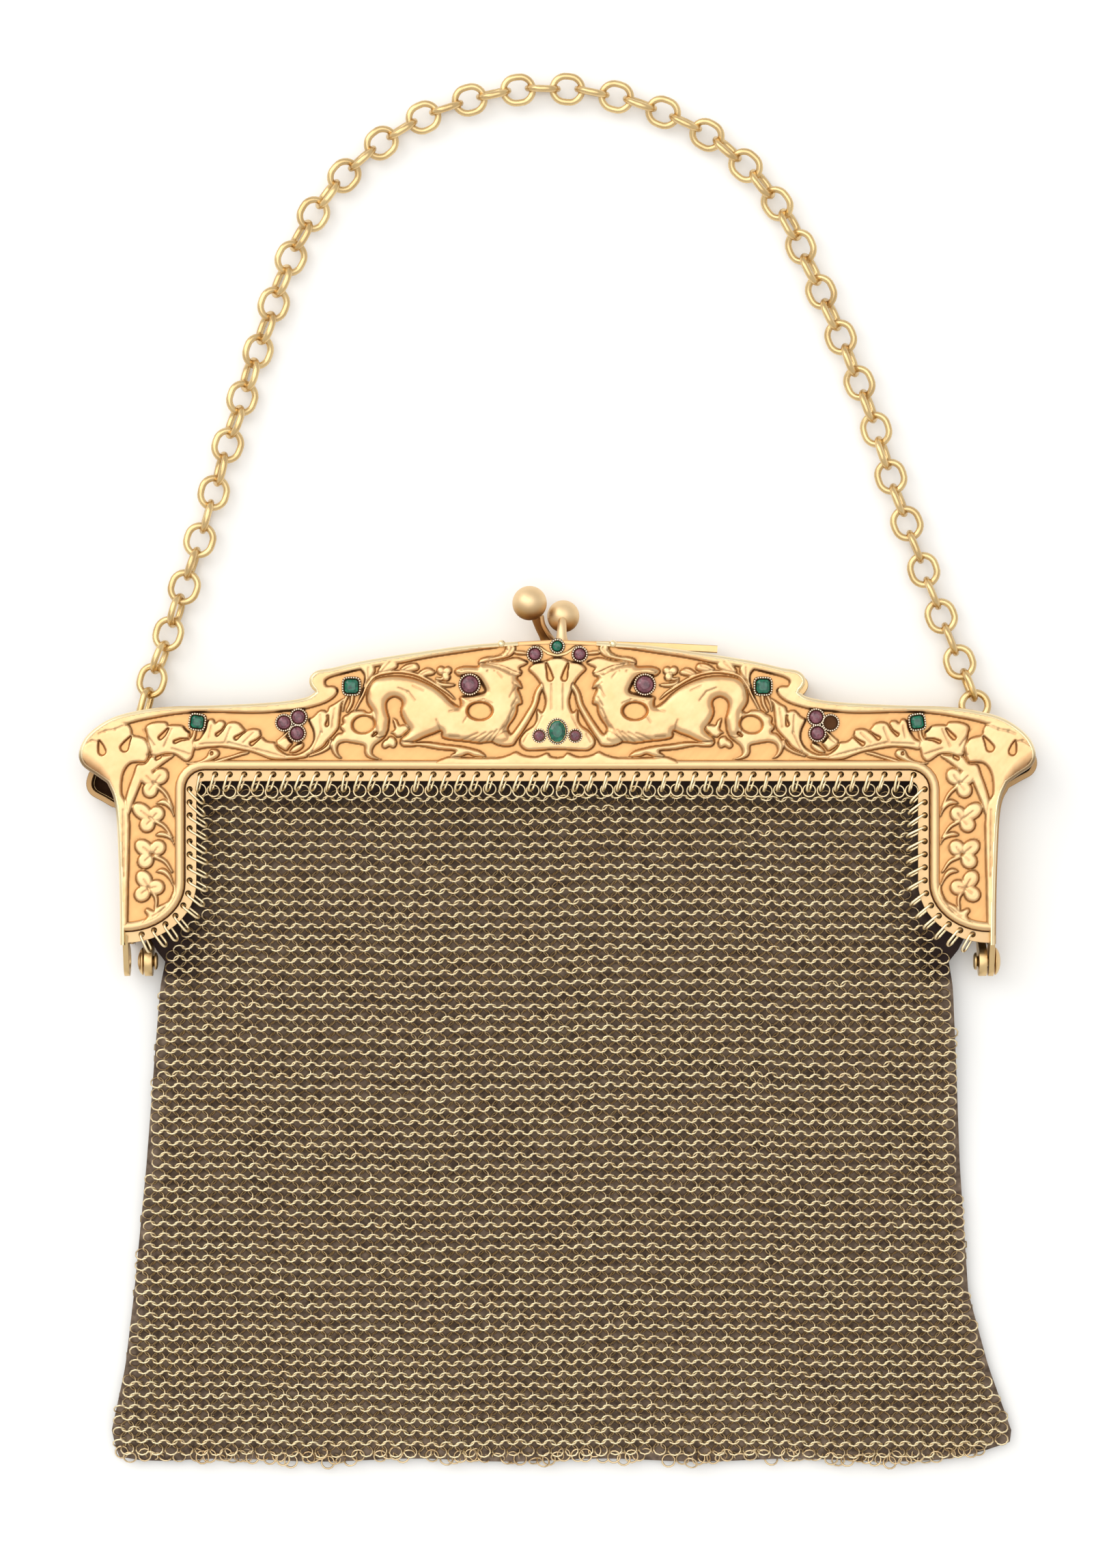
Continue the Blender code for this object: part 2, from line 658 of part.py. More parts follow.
def build_front_frame(parts, helpers, gold):
    outer = outer_edge(0.0, 0.0)
    window = window_edge()
    joined = new_group("front_frame_joined", helpers)
    bores = new_group("front_frame_bores", helpers)
    inner_plate = offset_line(window, FLANGE_WIDTH + RIM_WIDTH * PLATE_REACH)
    plate_loop = offset_line(outer, -SKIRT_WALL * PLATE_INSET) + inner_plate[::-1]
    ground = FRAME_DEPTH
    plate = prism("front_plate", [plate_loop], ground - PLATE_THICKNESS, ground, joined)
    mesh = plate.data
    bpy.data.objects.remove(plate)
    frame = add_object("front_frame", mesh, parts)
    frame.location.z = ground - PLATE_THICKNESS / 2
    strip("skirt", outer, 0.0, -SKIRT_WALL, FRONT_SKIRT_Z, ground + BORDER_RISE, joined)
    flange_top = ground - FLANGE_DROP
    strip(
        "flange",
        window,
        0.0,
        FLANGE_WIDTH + RIM_WIDTH * FLANGE_REACH,
        flange_top - FLANGE_THICKNESS,
        flange_top,
        joined,
        flange_holes(window),
    )
    strip(
        "rim",
        window,
        FLANGE_WIDTH,
        FLANGE_WIDTH + RIM_WIDTH,
        flange_top - FLANGE_THICKNESS / 2,
        ground + RIM_RISE,
        joined,
    )
    for side, inset in FRONT_EAR_INSET.items():
        centre_x = side_sign(side) * (LEG_OUTER_X - inset)
        ear_high = ground - EDGE_STEP
        ear(f"front_ear_{side}", centre_x, FRONT_EAR_THICKNESS, FRONT_SKIRT_Z + EDGE_STEP,
            ear_high, joined)
    add_relief(joined)
    lows, _ = relief_levels()
    for number, (name, side, row, centre) in enumerate(stone_seats()):
        cut, length, width, turn = row[2], row[5], row[6], row[7]
        turn = turn if side == "right" else -turn
        grow = STONE_GAP + COLLET_WALL
        rise = COLLET_RISE + EDGE_STEP * (number % 5) / 5
        foot = gem_outline(cut, centre, length, width, turn, grow + EDGE_STEP)
        top = gem_outline(cut, centre, length, width, turn, grow)
        low = next(lows) - JOIN_DEPTH / 2
        raised_form(f"collet_{name}_{side}", foot, top, low, ground + rise, joined)
        bore = gem_outline(cut, centre, length, width, turn, STONE_GAP)
        over = ground + COLLET_RISE + 2 * RELIEF_RISE
        raised_form(f"bore_{name}_{side}", bore, bore, ground + STONE_FLOOR / 2, over, bores)
    join_or_cut(frame, "cast in one", "UNION", joined)
    join_or_cut(frame, "stone seats", "DIFFERENCE", bores)
    return finish_piece(frame, gold)


def closing_bar_line():
    """The thin bar that leaves the back half's crest and ends short of the shoulder."""
    crest_y = band_point(0.0, 1.0).y - BACK_DROP_CREST
    points = []
    steps = 6
    for step in range(steps + 1):
        x = BAR_START_X + (BAR_END_X - BAR_START_X) * step / steps
        points.append(Vector((x, crest_y - BAR_FALL * (x / BAR_END_X) ** 2)))
    return points


def lug_place(side):
    """The centre of the small ring on the back half's skirt that holds a bail."""
    edge = outer_edge(BACK_DROP_CREST, BACK_DROP_SHOULDER)
    lug_x = LUG_SHARE[side] * FRAME_HALF_WIDTH
    reach = lug_x - BACK_SHIFT_X
    start, end = next(pair for pair in zip(edge, edge[1:]) if pair[0].x <= reach <= pair[1].x)
    edge_y = start.lerp(end, (reach - start.x) / (end.x - start.x)).y
    return Vector((lug_x, edge_y + LUG_RING_RADIUS - LUG_WIRE / 2, LUG_HEIGHT))


def bail_seat(side):
    """Where the bail's wire lies in its lug."""
    place = lug_place(side)
    place.y += LUG_RING_RADIUS - LUG_WIRE / 2 - LINK_WIRE / 2 - BAIL_CLEARANCE
    return place


def ring_mesh(name, length, width, wire, sides=LINK_SIDES, wire_sides=WIRE_SIDES):
    """An oval ring in the XY plane, longer along X."""
    bpy.ops.mesh.primitive_torus_add(
        major_segments=sides,
        minor_segments=wire_sides,
        major_radius=(width - wire) / 2,
        minor_radius=wire / 2,
    )
    ring = bpy.context.object
    mesh = ring.data
    mesh.name = name
    bpy.data.objects.remove(ring)
    for vertex in mesh.vertices:
        vertex.co.x += math.copysign((length - width) / 2, vertex.co.x)
    return mesh


def ring_matrix(place, heading, roll):
    """Puts a ring's length along the heading and turns it about that."""
    along = heading.normalized()
    flat = (Vector((0, 0, 1)) - along * along.z).normalized()
    across = flat.cross(along)
    turned = Matrix.Rotation(math.radians(roll), 3, along)
    columns = (along, turned @ across, turned @ flat)
    matrix = Matrix(columns).transposed().to_4x4()
    matrix.translation = place
    return matrix


def build_back_frame(parts, helpers, gold):
    shift = Vector((BACK_SHIFT_X, 0.0))
    outer = [point + shift for point in outer_edge(BACK_DROP_CREST, BACK_DROP_SHOULDER)]
    window = [point + shift for point in window_edge()]
    joined = new_group("back_frame_joined", helpers)
    inner_plate = offset_line(window, FLANGE_WIDTH + RIM_WIDTH * PLATE_REACH)
    plate_loop = offset_line(outer, -SKIRT_WALL * PLATE_INSET) + inner_plate[::-1]
    plate = prism("back_plate", [plate_loop], 0.0, PLATE_THICKNESS, joined)
    mesh = plate.data
    bpy.data.objects.remove(plate)
    frame = add_object("back_frame", mesh, parts)
    frame.location.z = PLATE_THICKNESS / 2
    strip("back_skirt", outer, 0.0, -SKIRT_WALL, EDGE_STEP, BACK_SKIRT_HEIGHT, joined)
    strip(
        "back_flange",
        window,
        0.0,
        FLANGE_WIDTH + RIM_WIDTH * FLANGE_REACH,
        FLANGE_DROP,
        FLANGE_DROP + FLANGE_THICKNESS,
        joined,
    )
    strip(
        "back_rim",
        window,
        FLANGE_WIDTH,
        FLANGE_WIDTH + RIM_WIDTH,
        EDGE_STEP,
        FLANGE_DROP + FLANGE_THICKNESS / 2,
        joined,
    )
    for side, inset in BACK_EAR_INSET.items():
        centre_x = side_sign(side) * (LEG_OUTER_X - inset)
        ear(f"back_ear_{side}", centre_x, BACK_EAR_THICKNESS, BACK_SKIRT_HEIGHT - EDGE_STEP,
            2 * EDGE_STEP, joined)
    bar_high = BACK_SKIRT_HEIGHT - BAR_TOP_GAP
    strip("closing_bar", closing_bar_line(), BAR_THICKNESS / 2, -BAR_THICKNESS / 2,
          bar_high - BAR_DEPTH, bar_high, joined)
    for side in LUG_SHARE:
        lug = ring_mesh(f"lug_{side}", 2 * LUG_RING_RADIUS + LUG_WIRE, 2 * LUG_RING_RADIUS + LUG_WIRE,
                        LUG_WIRE)
        helper = add_helper(f"lug_{side}", lug, joined)
        helper.location = lug_place(side)
        helper.rotation_euler.y = math.radians(90.0 - BAIL_ROLL[side])
    join_or_cut(frame, "cast in one", "UNION", joined)
    return finish_piece(frame, gold)


def turned_mesh(name, profile, sides):
    """A solid turned about Z from a profile of radius and height, top to bottom."""
    shape = bmesh.new()
    rings = []
    for radius, height in profile:
        if radius == 0:
            rings.append([shape.verts.new((0.0, 0.0, height))])
            continue
        ring = []
        for index in range(sides):
            angle = 2 * math.pi * index / sides
            ring.append(shape.verts.new((math.cos(angle) * radius, math.sin(angle) * radius, height)))
        rings.append(ring)
    for upper, lower in zip(rings, rings[1:]):
        for index in range(sides):
            after = (index + 1) % sides
            corners = [
                upper[index % len(upper)],
                lower[index % len(lower)],
                lower[after % len(lower)],
                upper[after % len(upper)],
            ]
            shape.faces.new(list(dict.fromkeys(corners)))
    return finish_mesh(name, shape)


def build_rivets(parts, gold):
    """Each rivet: a domed head outside, its shank through the ears, and a burr inside."""
    insets = {
        "left": (BACK_EAR_INSET["left"], BACK_EAR_INSET["left"]),
        "right": (FRONT_EAR_INSET["right"], BACK_EAR_INSET["right"]),
    }
    for side, (outer_inset, inner_inset) in insets.items():
        outer_half = (FRONT_EAR_THICKNESS if side == "right" else BACK_EAR_THICKNESS) / 2
        head_x = LEG_OUTER_X - outer_inset + outer_half + RIVET_CLEARANCE
        burr_x = LEG_OUTER_X - inner_inset - BACK_EAR_THICKNESS / 2 - RIVET_CLEARANCE
        rise = RIVET_HEAD_RISE
        profile = [
            (0.0, head_x + rise),
            (RIVET_HEAD_RADIUS * 0.55, head_x + rise * 0.85),
            (RIVET_HEAD_RADIUS * 0.9, head_x + rise * 0.45),
            (RIVET_HEAD_RADIUS, head_x),
            (RIVET_RADIUS, head_x),
            (RIVET_RADIUS, burr_x),
            (RIVET_RADIUS * 1.7, burr_x),
            (RIVET_RADIUS * 1.4, burr_x - RIVET_BURR),
            (0.0, burr_x - RIVET_BURR),
        ]
        rivet = add_object(f"hinge_pin_{side}", turned_mesh(f"hinge_pin_{side}", profile, 12), parts)
        rivet.rotation_euler.y = math.radians(90.0 * side_sign(side))
        rivet.location = (0.0, HINGE_Y, HINGE_Z)
        finish_piece(rivet, gold)


def build_clasp(parts, gold):
    """Two balls that snap past each other, each on a leaning stem with a collar at its foot."""
    crest_y = band_point(0.0, 1.0).y
    feet = {
        "clasp_ball_back": (
            Vector((BACK_STEM_X, crest_y - BACK_DROP_CREST + SEAT_GAP, BACK_SKIRT_HEIGHT / 2)),
            Vector((BACK_BALL_X, crest_y + BACK_BALL_ABOVE_CREST, BACK_BALL_HEIGHT)),
            BACK_BALL_RADIUS,
        ),
        "clasp_ball_front": (
            Vector((FRONT_STEM_X, crest_y + SEAT_GAP, FRAME_DEPTH - 1.6 * MM)),
            Vector((FRONT_BALL_X, crest_y + FRONT_BALL_ABOVE_CREST, FRONT_BALL_HEIGHT)),
            FRONT_BALL_RADIUS,
        ),
    }
    for name, (foot, centre, radius) in feet.items():
        lean = (centre - foot).normalized()
        foot.y += STEM_COLLAR_RADIUS * math.sqrt(1 - lean.y**2)
        stem_length = (centre - foot).length
        neck = math.sqrt(radius**2 - STEM_RADIUS**2)
        profile = [(0.0, stem_length + radius)]
        turns = 6
        for step in range(1, turns):
            angle = math.radians(90.0 - 150.0 * step / turns)
            profile.append((radius * math.cos(angle), stem_length + radius * math.sin(angle)))
        profile.append((STEM_RADIUS, stem_length - neck))
        profile.append((STEM_RADIUS, STEM_COLLAR_HEIGHT))
        profile.append((STEM_COLLAR_RADIUS, STEM_COLLAR_HEIGHT))
        profile.append((STEM_COLLAR_RADIUS, 0.0))
        profile.append((0.0, 0.0))
        ball = add_object(name, turned_mesh(name, profile, 12), parts)
        ball.location = foot
        ball.rotation_mode = "QUATERNION"
        ball.rotation_quaternion = (centre - foot).to_track_quat("Z", "Y")
        finish_piece(ball, gold)


def build_stones(parts, materials):
    """Cut stones: a small base, a girdle, a crown of eight facets and a flat table."""
    for name, side, row, centre in stone_seats():
        if (name, side) == EMPTY_SETTING:
            continue
        colour, cut, length, width, turn = row[1], row[2], row[5], row[6], row[7]
        turn = turn if side == "right" else -turn
        floor = FRAME_DEPTH + STONE_FLOOR
        levels = (
            (PAVILION_SHARE, floor),
            (1.0, floor + PAVILION_HEIGHT),
            (TABLE_SHARE, floor + PAVILION_HEIGHT + CROWN_HEIGHT),
        )
        shape = bmesh.new()
        rings = []
        for share, height in levels:
            outline = gem_outline(cut, centre, length, width, turn, 0.0)
            ring = [centre.lerp(point, share) for point in outline]
            rings.append([shape.verts.new((point.x, point.y, height)) for point in ring])
        for lower, upper in zip(rings, rings[1:]):
            for index in range(GEM_SIDES):
                after = (index + 1) % GEM_SIDES
                shape.faces.new((lower[index], lower[after], upper[after], upper[index]))
        shape.faces.new(rings[0][::-1])
        shape.faces.new(rings[-1])
        stone = add_object(f"stone_{name}_{side}", finish_mesh(name, shape), parts)
        stone.data.materials.append(materials[colour])


def bag_row(row_index, column_share, inset):
    """A point's x, its distance in from the edge, and its y and height share, on the bag's outline."""
    rows = ((0.0, BAG_ROWS[0][1], BAG_ROWS[0][2], 1.06),) + BAG_ROWS
    depth, left, right, height = rows[row_index]
    half = (left if column_share < 0 else right) * LEG_OUTER_X - inset
    x = column_share * half
    corner = max(0.0, (abs(column_share) - 0.84) / 0.16) ** 2
    top_y = WINDOW_TOP_Y - BAG_CLEARANCE
    y = top_y - depth * (BAG_DEPTH - inset) + corner * HEM_CORNER_RISE * max(0.0, depth - 0.9) * 10
    return x, y, height


def bag_columns():
    near_edge = BAG_CHAMFER_WIDTH / WINDOW_HALF_WIDTH
    inner = [
        -1 + near_edge + (2 - 2 * near_edge) * index / (BAG_COLUMNS - 2)
        for index in range(BAG_COLUMNS - 1)
    ]
    return [-1.0, *inner, 1.0]


def build_bag(parts, gold):
    """Two sheets joined at the sides and the hem, open at the top and down both sides to the hinge."""
    shape = bmesh.new()
    columns = bag_columns()
    row_count = len(BAG_ROWS) + 1
    skins = {}
    for skin, inset, wall in (("outer", 0.0, 0.0), ("inner", BAG_INSET, BAG_WALL)):
        for sheet in ("front", "back"):
            grid = []
            for row in range(row_count):
                line = []
                for share in columns:
                    last = row == row_count - 1
                    row_inset = inset if row >= SLIT_END_ROW else 0.0
                    x, y, height = bag_row(row, share, row_inset)
                    if row == 0 or row < SLIT_END_ROW:
                        y = bag_row(row, share, 0.0)[1]
                    edge = (abs(share) == 1 and row >= SLIT_END_ROW) or last
                    chamfer = BAG_CHAMFER * (1.0 if not wall else 0.4) if edge else 0.0
                    top = height * BAG_FRONT_HEIGHT - wall - chamfer
                    bottom = wall + chamfer
                    line.append(shape.verts.new((x, y, top if sheet == "front" else bottom)))
                grid.append(line)
            skins[skin, sheet] = grid
    for skin in ("outer", "inner"):
        front = skins[skin, "front"]
        back = skins[skin, "back"]
        for grid in (front, back):
            for row in range(row_count - 1):
                for column in range(len(columns) - 1):
                    shape.faces.new(
                        (
                            grid[row][column],
                            grid[row][column + 1],
                            grid[row + 1][column + 1],
                            grid[row + 1][column],
                        )
                    )
        for column in (0, len(columns) - 1):
            for row in range(SLIT_END_ROW, row_count - 1):
                shape.faces.new(
                    (front[row][column], front[row + 1][column], back[row + 1][column], back[row][column])
                )
        for column in range(len(columns) - 1):
            shape.faces.new(
                (front[-1][column], front[-1][column + 1], back[-1][column + 1], back[-1][column])
            )
    for sheet in ("front", "back"):
        outer = skins["outer", sheet]
        inner = skins["inner", sheet]
        rim = [(0, column) for column in range(len(columns))]
        left = [(row, 0) for row in range(SLIT_END_ROW + 1)]
        right = [(row, len(columns) - 1) for row in range(SLIT_END_ROW + 1)]
        for path in (rim, left, right):
            for (row_a, col_a), (row_b, col_b) in zip(path, path[1:]):
                shape.faces.new(
                    (outer[row_a][col_a], outer[row_b][col_b], inner[row_b][col_b], inner[row_a][col_a])
                )
    for column in (0, len(columns) - 1):
        corners = [skins[skin, sheet][SLIT_END_ROW][column]
                   for skin, sheet in (("outer", "front"), ("outer", "back"), ("inner", "back"),
                                       ("inner", "front"))]
        shape.faces.new(corners)
    bag = add_object("mesh_bag", finish_mesh("mesh_bag", shape), parts)
    return finish_piece(bag, gold)


def chain_lean(share):
    return table_value(CHAIN_LEAN, share)


def link_height(lean):
    """The height of a link's centre at which the lower of two neighbours rests on the table."""
    reach = max(abs(math.sin(math.radians(lean))), abs(math.cos(math.radians(lean))))
    return (LINK_WIDTH - LINK_WIRE) / 2 * reach + LINK_WIRE / 2


def bail_reach(length):
    """Lug seat to chain end: across the bail, then back from its far wire to the end link's centre."""
    return (length - LINK_WIRE) - LINK_WIRE - BAIL_CLEARANCE + (LINK_LENGTH - LINK_WIRE) / 2


def chain_line():
    """The links' centres, from the end of one bail to the other."""
    ends = {}
    for side, aim, length in (
        ("left", CHAIN_FIRST, LEFT_BAIL_LENGTH),
        ("right", CHAIN_LAST, RIGHT_BAIL_SIZE),
    ):
        seat = bail_seat(side).to_2d()
        aim = Vector(aim) * FRAME_HALF_WIDTH
        ends[side] = seat + (aim - seat).normalized() * bail_reach(length)
    points = [ends["left"], *(Vector(point) * FRAME_HALF_WIDTH for point in CHAIN_ROUTE), ends["right"]]
    return smooth_line(points, 8)


def build_chain(parts, helpers, gold):
    """Oval links, each turned a quarter from the last, fused where they hook into each other."""
    line = chain_line()
    length = sum((b - a).length for a, b in zip(line, line[1:]))
    pitch = LINK_LENGTH - 2 * LINK_WIRE + LINK_FUSE
    count = 2 * round((length / pitch + 1) / 2)  # even, so that both end links cross their bails
    places = spaced_points(line, count)
    link = ring_mesh("link", LINK_LENGTH, LINK_WIDTH, LINK_WIRE)
    halves = (bmesh.new(), bmesh.new())
    for index, place in enumerate(places):
        before = places[max(index - 1, 0)]
        after = places[min(index + 1, count - 1)]
        lean = chain_lean(index / (count - 1))
        centre = place.to_3d()
        centre.z = link_height(lean)
        roll = lean + 90.0 * (index % 2)
        matrix = ring_matrix(centre, (after - before).to_3d(), roll)
        shape = halves[index % 2]
        known = len(shape.verts)
        shape.from_mesh(link)
        shape.verts.ensure_lookup_table()
        bmesh.ops.transform(shape, matrix=matrix, verts=shape.verts[known:])
    chain = add_object("chain", finish_mesh("chain", halves[0]), parts)
    joined = new_group("chain_joined", helpers)
    add_helper("chain_second_links", finish_mesh("chain_second_links", halves[1]), joined)
    join_or_cut(chain, "fused links", "UNION", joined)
    return finish_piece(chain, gold)


def build_bails(parts, gold):
    line = chain_line()
    for side, end, length, width in (
        ("left", line[0], LEFT_BAIL_LENGTH, LEFT_BAIL_WIDTH),
        ("right", line[-1], RIGHT_BAIL_SIZE, RIGHT_BAIL_SIZE),
    ):
        seat = bail_seat(side)
        heading = (end - seat.to_2d()).to_3d().normalized()
        centre = seat + heading * (length - LINK_WIRE) / 2
        bail = add_object(f"chain_bail_{side}", ring_mesh(f"bail_{side}", length, width, LINK_WIRE), parts)
        bail.matrix_world = ring_matrix(centre, heading, BAIL_ROLL[side])
        finish_piece(bail, gold)


def main():
    clear_scene()
    scene_root = bpy.context.scene.collection
    parts = new_group("mesh_purse", scene_root)
    helpers = new_group("mesh_purse_helpers", scene_root)
    frame_gold = new_material("frame_gold", GOLD_PALE, 0.3, 1.0)
    chain_gold = new_material("chain_gold", GOLD_CHAIN, 0.3, 1.0)
    mesh_gold = new_material("mesh_gold", GOLD_MESH, 0.45, 1.0)
    stones = {
        "green": new_material("green_stone", STONE_GREEN, 0.08, 0.0),
        "red": new_material("red_stone", STONE_RED, 0.08, 0.0),
    }
    build_front_frame(parts, helpers, frame_gold)
    build_back_frame(parts, helpers, frame_gold)
    build_rivets(parts, frame_gold)
    build_clasp(parts, frame_gold)
    build_stones(parts, stones)
    build_bag(parts, mesh_gold)
    build_chain(parts, helpers, chain_gold)
    build_bails(parts, chain_gold)


main()
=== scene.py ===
# %% [markdown]
# # A ring-mesh evening purse, lying flat
# The measured CAD model is the frame of this scene. We load it first and note its size.
# Everything that follows is laid over it, in the same metres and the same axes.

# %% Load the CAD frame
import math

import bpy
import numpy as np
from mathutils import Matrix, Vector


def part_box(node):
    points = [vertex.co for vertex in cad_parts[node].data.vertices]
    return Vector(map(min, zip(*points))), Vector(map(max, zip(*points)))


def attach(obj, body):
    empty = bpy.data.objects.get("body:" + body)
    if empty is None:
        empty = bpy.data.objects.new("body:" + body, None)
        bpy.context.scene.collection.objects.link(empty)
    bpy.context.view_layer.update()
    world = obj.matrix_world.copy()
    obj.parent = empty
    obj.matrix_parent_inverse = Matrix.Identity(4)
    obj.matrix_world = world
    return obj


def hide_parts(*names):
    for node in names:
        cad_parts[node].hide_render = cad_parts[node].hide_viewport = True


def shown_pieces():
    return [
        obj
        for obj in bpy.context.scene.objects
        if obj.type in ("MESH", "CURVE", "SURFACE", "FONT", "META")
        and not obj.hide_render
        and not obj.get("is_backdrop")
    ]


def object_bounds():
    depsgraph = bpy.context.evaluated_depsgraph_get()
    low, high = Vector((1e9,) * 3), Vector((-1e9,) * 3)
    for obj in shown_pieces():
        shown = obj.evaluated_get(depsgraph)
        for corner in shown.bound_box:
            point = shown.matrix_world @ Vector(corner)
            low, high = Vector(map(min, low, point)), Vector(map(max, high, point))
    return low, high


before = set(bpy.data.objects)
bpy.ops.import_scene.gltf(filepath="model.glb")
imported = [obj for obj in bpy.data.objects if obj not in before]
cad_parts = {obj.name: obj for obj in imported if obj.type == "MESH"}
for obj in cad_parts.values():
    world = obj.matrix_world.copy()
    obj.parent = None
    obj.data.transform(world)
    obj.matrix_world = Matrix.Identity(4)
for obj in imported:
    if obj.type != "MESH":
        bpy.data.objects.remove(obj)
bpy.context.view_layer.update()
print("CAD nodes:", len(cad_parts))

# %% [markdown]
# The front half of the purse's frame is 150 units wide, and all tables below are in those units.
# One unit comes from the CAD, so the scene follows the CAD if its size changes.

# %% Measure the unit and the main levels
FRAME_WIDTH = 150.0
front_low, front_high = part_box("front_frame")
UNIT = (front_high.x - front_low.x) / FRAME_WIDTH
GROUND = 9.0  # the level of the frame's face
WINDOW_TOP = -9.0
LEG_END = -34.7
WINDOW_HALF = 56.65
BACK_SHIFT = 0.7  # the back half lies this far to the right
rng = np.random.default_rng(7)
print("one unit is", round(UNIT * 1000, 4), "mm")

# %% [markdown]
# ## Helpers for lines and meshes
# A line is an array of points. We smooth it, move it sideways, and sweep a profile along it.

# %% Line helpers
def smooth(points, steps=6, closed=False):
    """A smooth line through the points (Catmull-Rom), any number of columns; closed joins its ends."""
    p = np.asarray(points, float)
    rows = np.vstack([p[-1:], p, p[:2]]) if closed else np.vstack([2 * p[0] - p[1], p, 2 * p[-1] - p[-2]])
    t = np.linspace(0, 1, steps, endpoint=False)[:, None]
    spans = []
    for a, b, c, d in zip(rows, rows[1:], rows[2:], rows[3:]):
        bend = (2 * a - 5 * b + 4 * c - d) * t**2 / 2
        spans.append(b + (c - a) * t / 2 + bend + (3 * b - a - 3 * c + d) * t**3 / 2)
    return np.vstack(spans if closed else [*spans, p[-1]])


def unit(rows):
    """Each row at length 1."""
    return rows / np.linalg.norm(rows, axis=1)[:, None]


def offset(line, distance):
    """The line moved to its left."""
    return line[:, :2] + normals_of(line) * distance


def normals_of(line):
    """The left-hand normal at each point of an open line in the plane."""
    ahead = unit(np.gradient(line[:, :2], axis=0))
    return np.column_stack([-ahead[:, 1], ahead[:, 0]])


def even(line, count):
    """Points at even distances along a line."""
    run = np.concatenate([[0], np.cumsum(np.linalg.norm(np.diff(line, axis=0), axis=1))])
    at = np.linspace(0, run[-1], count)
    return np.column_stack([np.interp(at, run, line[:, k]) for k in range(line.shape[1])])


def strip(first, near, second, far):
    """A closed loop round the strip between two lines, each moved sideways."""
    return np.vstack([offset(first, near), offset(second, far)[::-1]])


def arc(start, end, count):
    """Points on a circle of radius 1."""
    turn = np.linspace(start, end, count)
    return np.column_stack([np.cos(turn), np.sin(turn)])


def rotated(points, angle):
    """Points of the plane turned about the origin."""
    x, y = points.T
    c, s = math.cos(angle), math.sin(angle)
    return np.column_stack([x * c - y * s, x * s + y * c])


# %% [markdown]
# Meshes are made from plain arrays. `add_piece` takes faces with any number of corners, and
# `fast_piece` takes large arrays of four-cornered faces. Both ride on the CAD body.

# %% Pieces of the scene
def finish_piece(name, mesh, material, smooth_angle=None, replaces=()):
    """Puts a mesh in the scene with its material, smooth-shaded, riding on the CAD body."""
    mesh.materials.clear()
    mesh.materials.append(material)
    obj = bpy.data.objects.new(name, mesh)
    bpy.context.scene.collection.objects.link(obj)
    mesh.shade_smooth()
    if smooth_angle is not None:
        mesh.set_sharp_from_angle(angle=math.radians(smooth_angle))
    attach(obj, "root")
    if replaces:
        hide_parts(*replaces)
    return obj


def add_piece(name, verts, faces, material, slot, smooth_angle=None, replaces=()):
    """Makes a piece from points in units and lists of corners."""
    mesh = bpy.data.meshes.new(name)
    mesh.from_pydata((np.asarray(verts, float) * UNIT).tolist(), [], faces)
    return finish_piece(name, mesh, material, smooth_angle, replaces)


def fast_piece(name, verts, faces, material, replaces=()):
    """Makes a piece from points in units and an array of faces with four corners."""
    mesh = bpy.data.meshes.new(name)
    mesh.vertices.add(len(verts))
    mesh.vertices.foreach_set("co", (np.asarray(verts, np.float32) * UNIT).ravel())
    mesh.loops.add(faces.size)
    mesh.loops.foreach_set("vertex_index", faces.ravel().astype(np.int32))
    mesh.polygons.add(len(faces))
    mesh.polygons.foreach_set("loop_start", np.arange(0, faces.size, 4, dtype=np.int32))
    mesh.update(calc_edges=True)
    return finish_piece(name, mesh, material, replaces=replaces)


def flat_plate(name, loops, low, high, round_edge, material, slot):
    """A plate from closed loops, the later ones as holes, with rounded edges, made from a filled curve."""
    curve = bpy.data.curves.new(name, "CURVE")
    curve.dimensions = "2D"
    curve.fill_mode = "BOTH"
    curve.extrude = (high - low) / 2 * UNIT - round_edge * UNIT
    curve.bevel_depth = round_edge * UNIT
    curve.bevel_resolution = 1
    curve.offset = -round_edge * UNIT
    for loop in loops:
        spline = curve.splines.new("POLY")
        spline.points.add(len(loop) - 1)
        for point, place in zip(spline.points, loop):
            point.co = (place[0] * UNIT, place[1] * UNIT, 0.0, 1.0)
        spline.use_cyclic_u = True
    guide = bpy.data.objects.new(name + "_guide", curve)
    bpy.context.scene.collection.objects.link(guide)
    bpy.context.view_layer.update()
    graph = bpy.context.evaluated_depsgraph_get()
    mesh = bpy.data.meshes.new_from_object(guide.evaluated_get(graph))
    bpy.data.objects.remove(guide)
    mesh.transform(Matrix.Translation((0, 0, (low + high) / 2 * UNIT)))
    return finish_piece(name, mesh, material, 30)


def paint(obj, **layers):
    """Stores a number at each vertex, or one number at all of them, for the materials to read."""
    for label, values in layers.items():
        layer = obj.data.attributes.new(label, "FLOAT", "POINT")
        spread = np.broadcast_to(values, len(obj.data.vertices))
        layer.data.foreach_set("value", spread.astype(np.float32))


# %% [markdown]
# Most forms are rows of points with faces between neighbouring rows: a swept profile, a turned
# solid, a tube along a path in space, and many wire rings made at once.

# %% Forms
OTHER_WAY = [0, 3, 2, 1]  # the corners of a face, in the order that turns it over


def quads_between(rows, columns, closed=True):
    """Faces between neighbouring rows of points; in a closed row the last point joins the first."""
    i, j = np.meshgrid(np.arange(rows - 1), np.arange(columns if closed else columns - 1), indexing="ij")
    k = (j + 1) % columns
    corners = [i * columns + j, (i + 1) * columns + j, (i + 1) * columns + k, i * columns + k]
    return np.stack(corners, axis=-1).reshape(-1, 4)


def end_caps(rows, columns):
    """The two faces that close the first and the last row."""
    return [list(range(columns))[::-1], list(range((rows - 1) * columns, rows * columns))]


